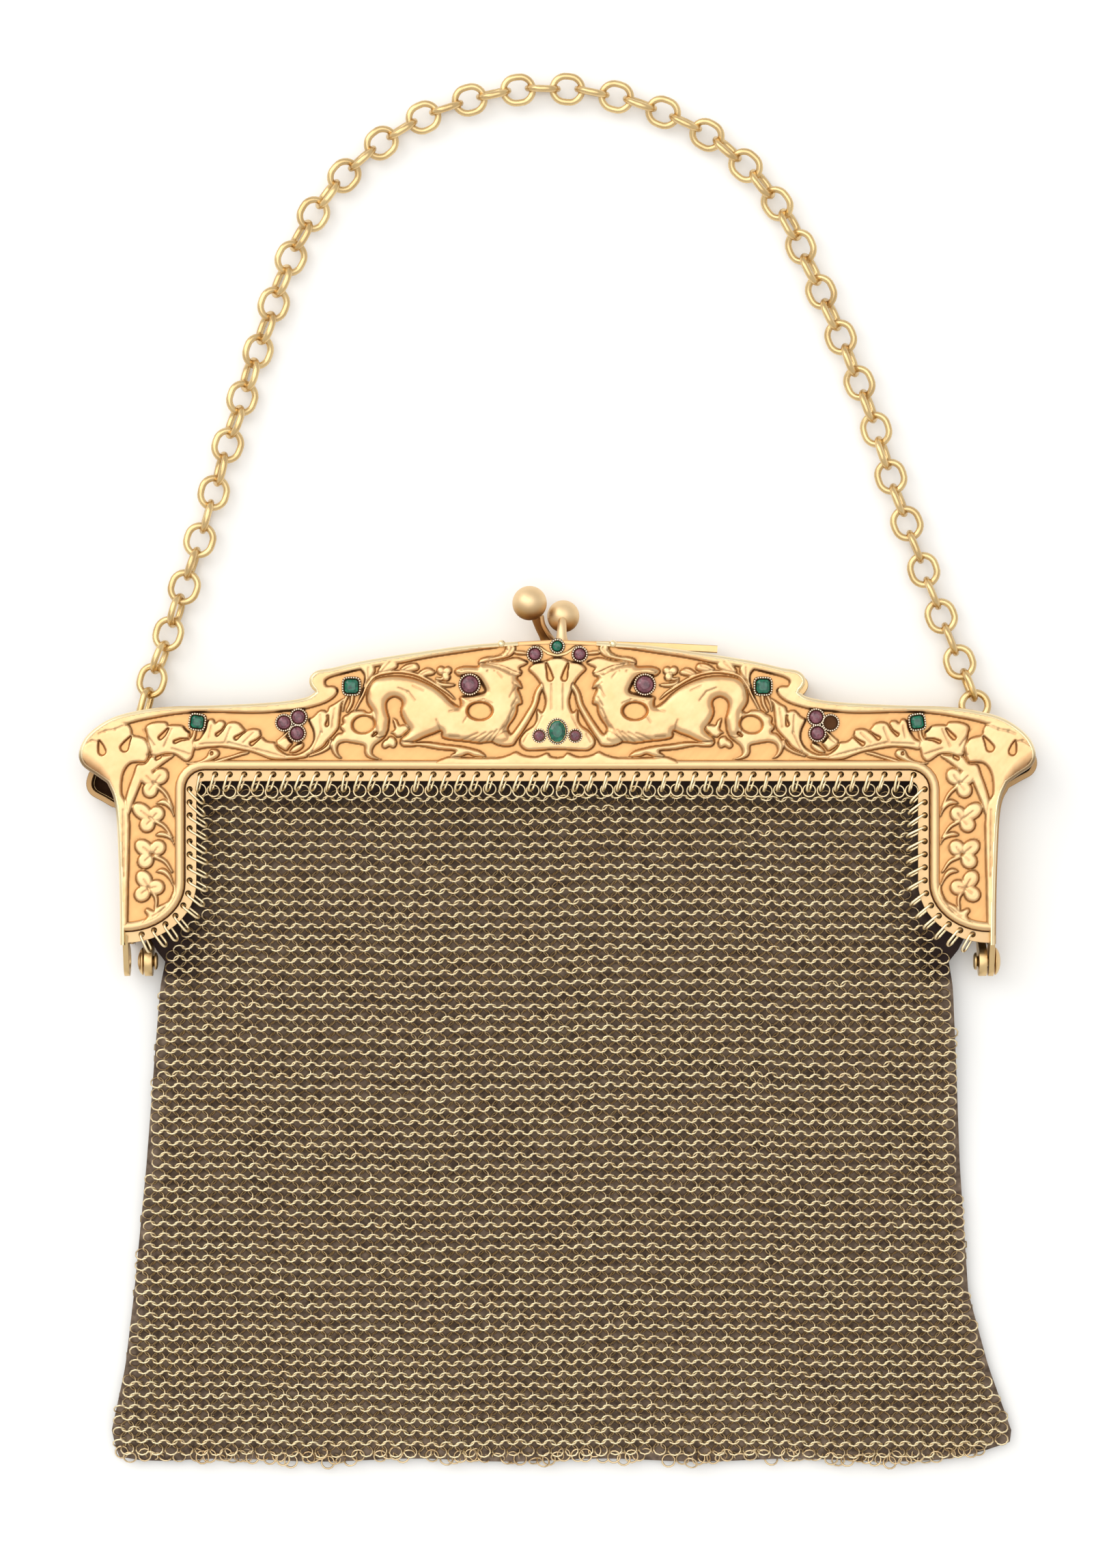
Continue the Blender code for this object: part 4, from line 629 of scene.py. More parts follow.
# %% Outlines of the raised forms, left half
BORDER_INNER = (
    (-67.3, -0.05), (-65.5, 0.45), (-63.0, 0.95), (-60.0, 1.45), (-56.5, 1.75), (-52.0, 1.75),
    (-48.0, 1.65), (-45.0, 1.75), (-42.0, 2.0), (-40.0, 2.2), (-38.2, 2.65), (-36.5, 3.2), (-35.3, 3.9),
    (-34.6, 4.6), (-34.4, 5.2), (-34.7, 5.7), (-35.3, 5.95), (-36.1, 5.95), (-36.35, 6.4), (-36.2, 6.9),
    (-35.2, 7.4), (-33.0, 7.95), (-31.2, 8.4), (-28.0, 9.0), (-24.6, 9.45), (-22.0, 10.0),
    (-19.0, 10.55), (-16.0, 11.0), (-12.0, 11.6), (-9.6, 11.9), (-8.7, 12.3),
)
LEAVES = (
    # shoulder leaf, which runs into the border and into the leg's outer strip
    ((-75.2, -4.4), (-74.2, -1.6), (-70.5, 1.0), (-67.6, 0.1), (-66.8, -0.7), (-66.55, -1.7),
     (-65.6, -1.95), (-64.7, -2.3), (-64.1, -3.1), (-63.9, -4.0), (-64.0, -5.0), (-64.5, -6.0),
     (-65.6, -6.05), (-66.8, -6.2), (-67.7, -7.1), (-68.2, -8.6), (-68.3, -10.6), (-68.05, -12.4),
     (-68.6, -15.0), (-69.8, -12.5), (-70.6, -9.2), (-73.0, -7.8)),
    ((-70.5, -9.0), (-68.3, -11.0), (-67.1, -14.2), (-67.1, -20.0), (-67.25, -26.0), (-67.35, -32.0),
     (-67.2, -34.8), (-69.0, -35.2), (-69.4, -20.0), (-70.2, -12.0)),
    # stem beside the shoulder leaf, up to the second leaf
    ((-67.2, -14.4), (-67.85, -12.6), (-67.3, -10.2), (-66.5, -8.0), (-65.9, -6.4), (-64.6, -6.2),
     (-63.7, -5.1), (-62.8, -5.1), (-61.4, -4.9), (-60.0, -4.95), (-61.6, -6.2), (-63.3, -7.5),
     (-64.8, -8.4), (-65.3, -9.6), (-66.3, -12.0)),
    # second leaf
    ((-64.6, -0.6), (-64.2, -0.1), (-63.3, 0.25), (-62.2, 0.35), (-61.3, 0.25), (-61.0, -0.2),
     (-60.5, -0.15), (-59.5, -0.15), (-58.7, -0.3), (-58.2, -0.9), (-57.6, -1.4), (-57.6, -2.2),
     (-57.0, -2.8), (-56.75, -3.6), (-56.95, -4.3), (-57.2, -5.2), (-57.7, -5.8), (-58.3, -5.9),
     (-59.1, -5.4), (-60.0, -4.8), (-61.5, -4.75), (-62.8, -5.1), (-63.8, -4.8), (-63.95, -3.8),
     (-64.3, -2.4), (-64.45, -1.4)),
    # wing leaf between the square stone and the berries
    ((-57.1, -2.8), (-56.2, -2.4), (-55.6, -1.6), (-55.2, -0.7), (-55.0, 0.2), (-54.5, 0.75),
     (-53.9, 0.7), (-53.6, 0.15), (-53.1, 0.5), (-52.4, 0.5), (-51.9, 0.0), (-51.4, 0.25), (-50.5, 0.3),
     (-49.8, 0.05), (-49.3, -0.5), (-48.8, -1.0), (-48.2, -0.8), (-47.4, -0.75), (-46.6, -1.0),
     (-46.35, -1.9), (-45.5, -2.7), (-44.3, -2.9), (-44.0, -3.5), (-43.5, -4.1), (-42.5, -4.75),
     (-41.0, -5.0), (-39.6, -4.6), (-39.2, -5.2), (-41.0, -5.5), (-43.5, -5.65), (-45.0, -5.5),
     (-46.3, -5.0), (-47.8, -4.45), (-49.3, -4.15), (-51.0, -3.85), (-52.5, -3.65), (-54.0, -3.7),
     (-55.5, -3.85), (-56.8, -4.05)),
    # leaf that curls up round the berries
    ((-43.0, -5.6), (-41.0, -5.45), (-39.2, -5.0), (-37.8, -4.3), (-36.7, -3.6), (-36.1, -2.8),
     (-35.4, -2.1), (-34.7, -1.3), (-34.25, -0.6), (-34.1, 0.6), (-33.95, 2.2), (-33.75, 3.2),
     (-33.2, 4.1), (-34.0, 3.75), (-35.0, 3.1), (-35.8, 2.65), (-36.1, 1.9), (-36.5, 2.1), (-37.2, 2.1),
     (-37.8, 1.6), (-38.3, 1.1), (-38.95, 0.7), (-38.8, 0.1), (-38.35, -0.9), (-38.15, -2.0),
     (-38.4, -3.0), (-39.0, -3.8), (-40.0, -4.5), (-41.0, -4.85), (-42.2, -4.8)),
    # calyx and small leaf under the berries
    ((-44.1, -3.1), (-43.3, -2.5), (-42.45, -2.0), (-41.9, -2.6), (-41.5, -3.1), (-42.0, -3.7),
     (-42.5, -4.25), (-43.4, -3.8)),
    ((-42.0, -4.5), (-41.5, -3.7), (-40.6, -3.1), (-39.9, -2.95), (-39.75, -3.5), (-40.3, -4.1),
     (-41.2, -4.55)),
    # two scrolls that leave the rim
    ((-58.2, -6.2), (-56.3, -5.9), (-55.1, -5.2), (-54.7, -4.5), (-54.2, -4.0), (-53.4, -4.0),
     (-52.95, -4.5), (-53.1, -5.1), (-53.9, -5.6), (-55.2, -6.1), (-57.0, -6.4)),
    ((-54.0, -5.95), (-52.5, -5.35), (-51.0, -4.95), (-49.3, -4.4), (-48.3, -4.6), (-49.5, -5.0),
     (-51.5, -5.6), (-53.2, -6.2)),
    # first leaf behind the beast, hanging from the border
    ((-31.2, 8.9), (-30.3, 9.6), (-29.3, 9.6), (-28.7, 9.0), (-28.55, 8.3), (-28.9, 7.5), (-29.6, 6.8),
     (-30.1, 5.9), (-30.6, 5.0), (-30.25, 6.5), (-30.3, 7.7), (-30.8, 8.4)),
    ((-28.2, 8.1), (-27.6, 9.2), (-27.0, 9.8), (-26.2, 10.0), (-25.4, 9.8), (-25.0, 9.3), (-25.2, 8.7),
     (-26.2, 8.2), (-27.2, 8.0)),
    ((-24.7, 8.5), (-23.9, 9.2), (-23.0, 9.5), (-22.1, 9.5), (-21.7, 9.0), (-21.75, 8.5), (-22.5, 8.2),
     (-23.8, 8.15)),
    ((-21.8, 7.9), (-21.0, 8.6), (-20.2, 8.8), (-19.5, 8.5), (-19.1, 8.1), (-19.5, 7.65), (-20.4, 7.5),
     (-21.2, 7.4)),
    ((-19.1, 6.9), (-18.2, 6.5), (-17.0, 6.4), (-16.0, 6.15), (-16.5, 5.8), (-17.8, 5.75),
     (-18.8, 6.2)),
    # flame leaf and clover in the haunch's opening
    ((-25.8, 0.9), (-25.1, 0.5), (-24.8, -0.2), (-24.2, -0.15), (-23.5, -0.2), (-23.2, -0.9),
     (-23.8, -1.5), (-24.4, -2.0), (-25.2, -2.1), (-25.7, -1.6), (-26.1, -1.4), (-25.5, -0.9),
     (-25.6, -0.1)),
    ((-27.5, -3.2), (-27.1, -2.6), (-26.7, -2.4), (-26.3, -1.95), (-25.6, -2.1), (-25.2, -2.7),
     (-25.25, -3.4), (-25.7, -3.8), (-26.3, -3.55), (-26.9, -3.85), (-27.4, -3.7)),
    # band along the rim, scalloped under the centre
    ((-19.0, -5.9), (-17.0, -5.15), (-15.3, -5.25), (-13.0, -5.3), (-10.5, -5.3), (-9.0, -5.25),
     (-7.5, -4.8), (-6.5, -4.35), (-5.6, -4.8), (-4.4, -5.1), (-3.0, -5.1), (-1.6, -4.55), (-1.0, -5.1),
     (0.0, -5.3), (0.6, -5.35), (0.8, -6.0), (0.6, -6.6), (-6.0, -6.7), (-12.0, -6.7), (-18.5, -6.7),
     (-19.2, -6.3)),
    # leaf in the foot of the leg
    ((-59.9, -25.0), (-60.4, -26.6), (-61.2, -27.9), (-62.6, -28.6), (-63.2, -29.3), (-64.3, -28.85),
     (-64.7, -29.4), (-64.3, -30.2), (-65.4, -31.1), (-67.4, -32.0), (-67.6, -34.2), (-62.0, -32.2),
     (-59.2, -29.0)),
    # leaves on the rim between the leg's sprigs
    ((-62.9, -12.5), (-61.9, -11.8), (-61.1, -12.0), (-60.4, -12.9), (-60.0, -14.8), (-60.6, -13.6),
     (-61.6, -12.75)),
    ((-63.0, -17.5), (-62.3, -16.9), (-61.4, -17.0), (-60.5, -17.6), (-60.0, -19.2), (-60.6, -18.2),
     (-61.7, -17.75)),
    ((-62.9, -23.2), (-62.0, -22.6), (-61.0, -23.1), (-60.4, -24.2), (-60.0, -26.0), (-60.7, -24.6),
     (-61.7, -23.6)),
    # plume and ear of the beast
    ((-12.3, 9.3), (-12.3, 10.0), (-11.4, 10.45), (-10.0, 10.6), (-9.0, 10.9), (-8.35, 11.4),
     (-8.1, 12.0), (-8.3, 12.6), (-8.1, 13.2), (-7.3, 13.0), (-6.8, 12.5), (-6.5, 11.8), (-6.75, 11.1),
     (-7.5, 10.5), (-8.6, 10.15), (-10.0, 9.9), (-11.4, 9.5)),
    ((-12.0, 9.2), (-10.5, 9.75), (-8.6, 9.95), (-6.9, 10.4), (-5.9, 10.3), (-4.6, 9.65), (-5.2, 9.1),
     (-5.9, 8.75), (-5.5, 8.1), (-6.1, 7.4), (-7.6, 7.8), (-9.0, 8.5), (-10.3, 9.0)),
)
TAIL = (
    ((-32.8, 1.55), (-32.2, 2.0), (-31.3, 2.2), (-30.3, 2.1), (-29.5, 1.75), (-27.6, 3.0), (-26.6, 1.0),
     (-26.4, -0.6), (-26.9, -1.9), (-27.7, -2.7), (-28.5, -3.3), (-28.95, -4.0), (-28.95, -4.7),
     (-28.5, -5.2), (-27.6, -5.6), (-28.9, -5.5), (-29.8, -5.15), (-30.2, -4.5), (-30.2, -3.8),
     (-30.4, -3.35), (-31.6, -3.1), (-32.8, -2.9), (-33.7, -2.95), (-34.3, -3.3), (-34.5, -4.0),
     (-34.3, -4.8), (-33.8, -5.4), (-34.4, -5.3), (-35.0, -4.8), (-35.4, -4.1), (-35.6, -3.3),
     (-35.2, -2.5), (-34.8, -1.9), (-34.3, -1.5), (-33.6, -1.3), (-34.0, -0.8), (-34.0, -0.2),
     (-33.6, 0.1), (-33.7, 0.8), (-33.35, 1.3)),
)
BEAST = (
    ((-29.0, 1.9), (-29.85, 3.3), (-29.9, 4.8), (-29.4, 6.2), (-28.4, 7.1), (-27.0, 7.45),
     (-25.0, 7.55), (-23.0, 7.3), (-21.2, 6.7), (-19.4, 5.8), (-17.9, 4.7), (-16.6, 3.5), (-15.4, 2.7),
     (-15.2, 3.4), (-15.3, 4.2), (-14.0, 4.5), (-12.6, 4.7), (-11.4, 5.1), (-11.7, 6.0), (-12.4, 7.0),
     (-13.4, 7.5), (-15.2, 7.4), (-16.1, 8.0), (-15.8, 8.7), (-14.4, 9.05), (-12.6, 9.0), (-11.9, 9.5),
     (-9.0, 9.2), (-6.9, 8.3), (-5.6, 7.8), (-6.3, 7.2), (-5.8, 6.6), (-5.5, 5.6), (-6.15, 5.5),
     (-5.7, 4.4), (-5.5, 3.2), (-6.2, 2.8), (-6.3, 1.8), (-6.8, 0.7), (-7.7, -0.6), (-7.4, -1.5),
     (-7.2, -2.6), (-8.6, -3.3), (-10.4, -2.9), (-12.2, -3.1), (-14.4, -2.8), (-16.4, -2.6),
     (-18.0, -2.2), (-18.3, -1.2), (-19.4, -1.6), (-20.8, -2.1), (-22.0, -2.7), (-24.0, -3.3),
     (-24.6, -2.8), (-24.5, -2.2), (-23.6, -1.5), (-23.2, -0.8), (-23.9, 0.1), (-24.5, 1.3),
     (-24.6, 2.2), (-24.35, 3.1), (-24.6, 3.8), (-25.5, 4.2), (-26.4, 3.8), (-26.8, 3.0), (-26.6, 1.8),
     (-26.3, 0.7), (-26.5, -0.6), (-26.9, -1.8), (-28.4, -2.0), (-28.9, -0.5), (-28.85, 0.6)),
)
LIMBS = (
    # hind leg, lying along the rim
    ((-24.6, -2.7), (-22.5, -2.9), (-20.0, -2.85), (-17.6, -3.2), (-15.0, -3.5), (-13.2, -3.9),
     (-12.0, -4.3), (-11.2, -5.2), (-13.0, -5.15), (-14.0, -4.75), (-15.2, -5.2), (-16.9, -5.1),
     (-16.0, -4.3), (-18.5, -4.05), (-21.5, -3.5), (-23.0, -3.6), (-24.3, -3.5)),
    # foreleg, raised against the palmette
    ((-10.2, -2.7), (-8.8, -3.5), (-7.0, -3.45), (-6.3, -2.6), (-5.3, -1.1), (-4.3, 0.5), (-3.5, 2.0),
     (-2.95, 3.3), (-2.7, 4.5), (-2.2, 5.6), (-2.4, 6.4), (-3.1, 5.8), (-3.7, 4.6), (-4.05, 3.2),
     (-4.8, 1.9), (-5.6, 0.6), (-6.5, -0.7), (-7.3, -1.6), (-8.2, -1.2)),
)
PALMETTE = (
    ((0.5, 10.45), (-0.2, 10.45), (-1.0, 10.3), (-1.8, 9.9), (-2.6, 9.75), (-3.5, 9.6), (-4.3, 9.0),
     (-4.5, 8.4), (-3.7, 7.6), (-2.9, 6.6), (-2.4, 5.4), (-2.0, 4.2), (-1.95, 3.0), (-2.4, 1.8),
     (-3.2, 2.3), (-3.3, 0.6), (-3.8, -0.3), (-4.9, -1.1), (-5.8, -2.2), (-5.9, -3.2), (-5.2, -4.0),
     (-4.2, -4.25), (-2.4, -4.15), (-1.0, -4.05), (0.3, -4.0), (0.9, -3.6), (0.9, 3.0), (0.9, 10.2)),
)
# Rows of x, y of a clover's centre, then x, y of its three lobes
CLOVERS = (
    (-63.2, -9.4, -64.4, -8.2, -62.1, -8.1, -63.9, -10.5),
    (-63.6, -14.9, -65.3, -13.6, -62.7, -14.0, -64.4, -15.9),
    (-63.5, -20.5, -65.0, -19.3, -62.5, -19.3, -64.7, -21.6),
    (-63.9, -25.8, -64.9, -24.2, -62.7, -25.6, -65.2, -26.8),
    (-17.8, 7.9, -18.3, 8.4, -17.15, 8.35, -17.4, 7.3),
)
# Tapered stems: x, y, half width
STEMS = (
    ((-62.9, -9.6, 0.35), (-61.4, -11.0, 0.3), (-60.3, -13.2, 0.15)),
    ((-63.1, -15.2, 0.35), (-61.6, -16.1, 0.3), (-60.4, -17.8, 0.15)),
    ((-63.0, -20.8, 0.4), (-61.5, -21.6, 0.3), (-60.4, -23.2, 0.15)),
    ((-63.6, -26.2, 0.35), (-62.9, -27.4, 0.3), (-63.0, -29.4, 0.2)),
    ((-57.3, -2.6, 0.4), (-56.95, -1.8, 0.3), (-56.8, -0.9, 0.3)),
    ((-43.8, -2.8, 0.3), (-42.9, -2.0, 0.25), (-42.0, -1.1, 0.25)),
    ((-38.8, -5.05, 0.12), (-36.9, -4.3, 0.25), (-35.8, -3.5, 0.35), (-35.5, -2.7, 0.3)),
    ((-31.8, 2.0, 0.15), (-30.6, 4.3, 0.25), (-29.8, 6.0, 0.25), (-28.6, 7.45, 0.25),
     (-26.8, 8.0, 0.25), (-24.7, 8.15, 0.22), (-22.4, 7.8, 0.25), (-20.4, 6.95, 0.28),
     (-18.7, 5.9, 0.25), (-17.2, 4.9, 0.22), (-16.1, 3.9, 0.1)),
    ((-32.9, 2.0, 0.25), (-32.3, 3.2, 0.3), (-32.1, 4.6, 0.35)),
    ((-33.0, 4.3, 0.3), (-33.5, 3.0, 0.2), (-33.6, 2.0, 0.1)), ((-9.3, 12.7, 0.4), (-9.2, 12.65, 0.4)),
    ((-6.4, 11.2, 0.3), (-5.4, 11.1, 0.3), (-4.6, 11.0, 0.2)),
    ((-18.9, 7.1, 0.2), (-18.2, 7.0, 0.25), (-17.6, 7.3, 0.2)),
)
# Teardrop openings cut down to the ground: x, y, half width
SLOTS = (
    ((-71.8, -2.7, 0.05), (-71.55, -3.5, 0.35), (-71.35, -4.35, 0.55)),
    ((-66.8, -2.0, 0.05), (-67.4, -2.9, 0.35), (-67.85, -3.75, 0.6)),
    ((-61.0, -0.8, 0.08), (-61.6, -1.6, 0.24), (-62.2, -2.2, 0.26)),
    ((-57.8, -2.35, 0.05), (-59.0, -2.5, 0.14), (-59.9, -2.85, 0.2)),
    ((-62.3, -5.2, 0.18), (-62.8, -5.45, 0.2)),
    ((-51.95, -0.1, 0.05), (-52.5, -1.0, 0.08), (-53.3, -1.7, 0.2)),
    ((-48.9, -1.2, 0.05), (-49.6, -1.7, 0.08), (-50.35, -2.25, 0.25)),
    ((-46.4, -2.0, 0.05), (-47.1, -2.6, 0.1), (-47.9, -3.15, 0.26)),
    ((-36.0, 1.3, 0.04), (-35.95, 0.6, 0.08), (-36.1, -0.15, 0.22)),
    ((-1.75, 9.5, 0.06), (-1.4, 8.4, 0.25), (-1.1, 7.15, 0.42)),
    ((-28.4, -1.5, 0.15), (-28.9, -1.9, 0.08)), ((-54.2, -4.55, 0.14), (-54.15, -4.7, 0.14)),
)
# Engraved folds, hairs and veins: start, end
VEINS = (
    ((-74.2, -3.4), (-73.0, -2.65)), ((-73.0, -2.65), (-72.0, -2.8)), ((-71.9, -1.6), (-70.8, -1.15)),
    ((-70.8, -1.15), (-69.2, -0.85)), ((-69.2, -0.85), (-67.5, -0.1)), ((-64.3, -4.9), (-63.6, -4.4)),
    ((-64.9, -1.0), (-63.2, -3.4)), ((-60.4, -0.8), (-61.6, -3.6)), ((-57.6, -4.8), (-60.4, -3.9)),
    ((-54.2, -0.3), (-54.6, -2.2)), ((-51.2, -0.6), (-52.0, -2.7)), ((-47.6, -1.4), (-49.2, -3.0)),
    ((-56.0, -3.2), (-51.5, -3.0)), ((-51.5, -3.0), (-47.0, -4.1)), ((-47.0, -4.1), (-42.6, -5.2)),
    ((-37.2, 1.4), (-37.0, -1.4)), ((-37.0, -1.4), (-38.4, -4.3)), ((-34.9, 2.4), (-35.3, -0.6)),
    ((-29.6, 8.8), (-29.7, 7.3)), ((-26.2, 9.6), (-27.4, 8.4)), ((-22.6, 9.1), (-24.0, 8.5)),
    ((-20.1, 8.4), (-21.2, 7.8)), ((-18.9, 0.6), (-18.2, -1.4)), ((-18.2, -1.4), (-20.6, -2.3)),
    ((-16.9, -1.9), (-15.4, -2.0)), ((-14.9, -2.5), (-12.4, -1.5)), ((-13.6, -2.7), (-11.2, -1.4)),
    ((-12.2, -2.8), (-10.2, -1.3)), ((-11.0, -2.7), (-9.4, -1.0)), ((-9.8, -2.2), (-8.3, -0.3)),
    ((-8.4, -1.0), (-7.5, 0.8)), ((-7.6, 0.9), (-6.9, 2.4)), ((-7.1, 2.8), (-6.3, 4.1)),
    ((-6.9, 6.4), (-5.7, 5.3)), ((-7.4, 4.2), (-6.6, 5.6)), ((-14.7, 0.2), (-14.1, 1.1)),
    ((-16.9, 1.9), (-15.6, 2.3)), ((-13.6, 3.65), (-11.6, 3.8)), ((-11.6, 3.8), (-10.2, 3.2)),
    ((-11.8, 9.1), (-10.6, 9.3)), ((-10.6, 9.3), (-8.8, 8.6)), ((-8.8, 8.6), (-7.4, 7.9)),
    ((-7.4, 7.9), (-6.1, 7.35)), ((-9.3, 8.1), (-8.6, 7.2)), ((-15.6, 8.2), (-14.9, 8.4)),
    ((-24.9, 5.6), (-23.4, 5.0)), ((-23.4, 5.0), (-22.3, 3.6)), ((-22.6, 6.0), (-20.9, 5.2)),
    ((-0.9, 6.2), (-0.95, 2.2)), ((-2.3, 1.2), (-3.4, -0.9)), ((-4.6, -1.6), (-5.3, -2.9)),
    ((-3.2, 2.0), (-3.0, 3.4)), ((-64.4, -8.2), (-63.3, -9.3)), ((-62.2, -8.1), (-63.0, -9.2)),
    ((-63.9, -10.4), (-63.3, -9.6)), ((-65.2, -13.7), (-63.8, -14.8)), ((-62.8, -14.1), (-63.4, -14.8)),
    ((-64.3, -15.8), (-63.6, -15.1)), ((-64.9, -19.4), (-63.7, -20.4)),
    ((-62.6, -19.4), (-63.3, -20.3)), ((-64.6, -21.5), (-63.7, -20.7)),
    ((-64.8, -24.4), (-64.1, -25.6)), ((-62.9, -25.6), (-63.7, -25.8)),
    ((-65.1, -26.6), (-64.1, -25.9)), ((-61.5, -28.9), (-63.4, -30.2)),
    ((-60.6, -27.4), (-62.4, -30.0)), ((-5.7, 12.95), (-4.2, 12.6)), ((-4.2, 12.6), (-2.6, 11.85)),
    ((-2.6, 11.85), (-1.4, 11.05)), ((-1.4, 11.05), (0.3, 10.75)), ((-8.5, 12.3), (-7.9, 11.5)),
    ((-7.9, 11.5), (-8.6, 10.8)), ((-8.6, 10.8), (-10.6, 10.2)), ((-7.6, 12.7), (-7.1, 11.8)),
    ((-7.1, 11.8), (-7.8, 10.8)), ((-68.0, -13.5), (-67.95, -24.0)),
)
# The drape over the crest's middle: one bold groove
DRAPE = (
    (-6.2, 13.1), (-5.0, 12.9), (-4.0, 12.55), (-2.8, 11.95), (-1.8, 11.3), (-0.9, 10.9), (0.0, 10.75),
    (0.9, 10.9),
)
# Openings that go down to the ground: x, y, half length, half width, turn
OPENINGS = ((-30.4, -0.1, 1.65, 1.3, 10), (-12.15, 2.0, 1.8, 1.3, 0))
EYES = ((-10.9, 8.3, 0.22), (-9.8, 8.35, 0.14), (-15.4, 8.05, 0.13))


# %% [markdown]
# Depth inside a form is found for many grid points at once, and is negative outside it.

# %% Depth inside strokes, lobes and outlines
FAR = 9.0  # stands for any distance well outside a form


def gap_to(points, start, end):
    """Each point's place beside a straight piece, as a share of its length, and its distance."""
    reach = end - start
    along = np.clip(((points - start) @ reach) / max(reach @ reach, 1e-9), 0, 1)
    return along, np.linalg.norm(points - start - along[:, None] * reach, axis=1)


def stroke_depth(points, stroke):
    """How far each point lies inside a tapered stroke of (x, y, half width) rows."""
    path = smooth(stroke, 5) if len(stroke) > 2 else np.asarray(stroke, float)
    depth = np.full(len(points), -FAR)
    for start, end in zip(path, path[1:]):
        along, gap = gap_to(points, start[:2], end[:2])
        depth = np.maximum(depth, start[2] + (end[2] - start[2]) * along - gap)
    return depth


def lobe_depth(points, lobe):
    """How far each point lies inside an oval pad of (x, y, half length, half width, turn)."""
    x, y, length, width, turn = lobe
    u, v = rotated(points - [x, y], -math.radians(turn)).T / [[length], [width]]
    return (1 - np.sqrt(u * u + v * v)) * min(length, width)


def inside(points, loop):
    """Even-odd test of many points against a closed loop."""
    found = np.zeros(len(points), bool)
    for (x1, y1), (x2, y2) in zip(loop, np.roll(loop, -1, axis=0)):
        if y1 != y2:
            crosses = (y1 > points[:, 1]) != (y2 > points[:, 1])
            found ^= crosses & (points[:, 0] < (x2 - x1) * (points[:, 1] - y1) / (y2 - y1) + x1)
    return found


def loop_depth(points, loop):
    """Distance to a closed outline, positive inside it."""
    gap = np.full(len(points), FAR)
    for start, end in zip(loop, np.roll(loop, -1, axis=0)):
        gap = np.minimum(gap, gap_to(points, start, end)[1])
    return np.where(inside(points, loop), gap, -gap)


# %% [markdown]
# Forms are gathered in groups. Within a group they melt into one another, and the dark line at the
# foot of a form, partly tarnish and partly painted shade, runs round the whole group.

# %% Groups of forms
def outlines(table):
    return [(smooth(form, 3, True), loop_depth) for form in table]


def clover_lobes():
    """The three lobes of each clover, drawn a little towards its centre."""
    lobes = []
    for cx, cy, *tips in CLOVERS:
        size = 1.0 if cx < -30 else 0.55
        for tx, ty in zip(tips[::2], tips[1::2]):
            length = max(1.3 * size, math.hypot(tx - cx, ty - cy) * 0.84)
            turn = math.degrees(math.atan2(ty - cy, tx - cx))
            lobe = (tx + 0.12 * (cx - tx), ty + 0.12 * (cy - ty), length, 1.24 * size, turn)
            lobes.append((lobe, lobe_depth))
    return lobes


left_edge = offset(outer, 1.0)
left_edge = left_edge[(left_edge[:, 0] < -8.0) & (left_edge[:, 1] > -1.2)]
border_band = np.vstack([smooth(BORDER_INNER, 4), left_edge[::-1]])
foliage = [(border_band, loop_depth), *outlines(LEAVES), *clover_lobes()]
foliage += [(stem, stroke_depth) for stem in STEMS]
GROUPS = (
    # forms, rise, width of the rounded shoulder, crown
    (foliage, 0.5, 0.42, 0.12),
    (outlines(PALMETTE), 0.6, 0.5, 0.14),
    (outlines(TAIL), 0.55, 0.6, 0.15),
    (outlines(BEAST), 0.8, 1.15, 0.25),
    (outlines(LIMBS), 0.62, 0.5, 0.2),
)
print("forms in the relief:", sum(len(group[0]) for group in GROUPS))

# %% [markdown]
# A form's height rises steeply from its edge and rounds off. Slots and openings go down to the
# ground, and veins are engraved. Beside the height we keep the strength of the dark line.

# %% Height of the relief
# Margin of work, depth, darkness and width of the dark line of an engraved cut
VEIN_CUT = (1.0, 0.10, 0.62, 0.13)
DRAPE_CUT = (0.8, 0.06, 1.0, 0.15)
CUT_WIDTH = 0.17


def pillow(depth, rise, soft, crown):
    """Height of a form: a rounded shoulder of width soft, then a slight crown."""
    near = np.clip(depth / soft, 0, 1)
    return rise * np.sqrt(np.clip(1 - (1 - near) ** 2, 0, 1)) + crown * (1 - np.exp(-np.clip(depth, 0, None)))


def bell(gap, width):
    """1 where the gap is 0, falling off smoothly."""
    return np.exp(-((gap / width) ** 2))


def near_box(points, rows, margin):
    """Which points lie near a form, to save work."""
    rows = np.atleast_2d(np.asarray(rows, float))
    low, high = rows[:, :2].min(0) - margin, rows[:, :2].max(0) + margin
    return np.flatnonzero(np.all((points > low) & (points < high), axis=1))


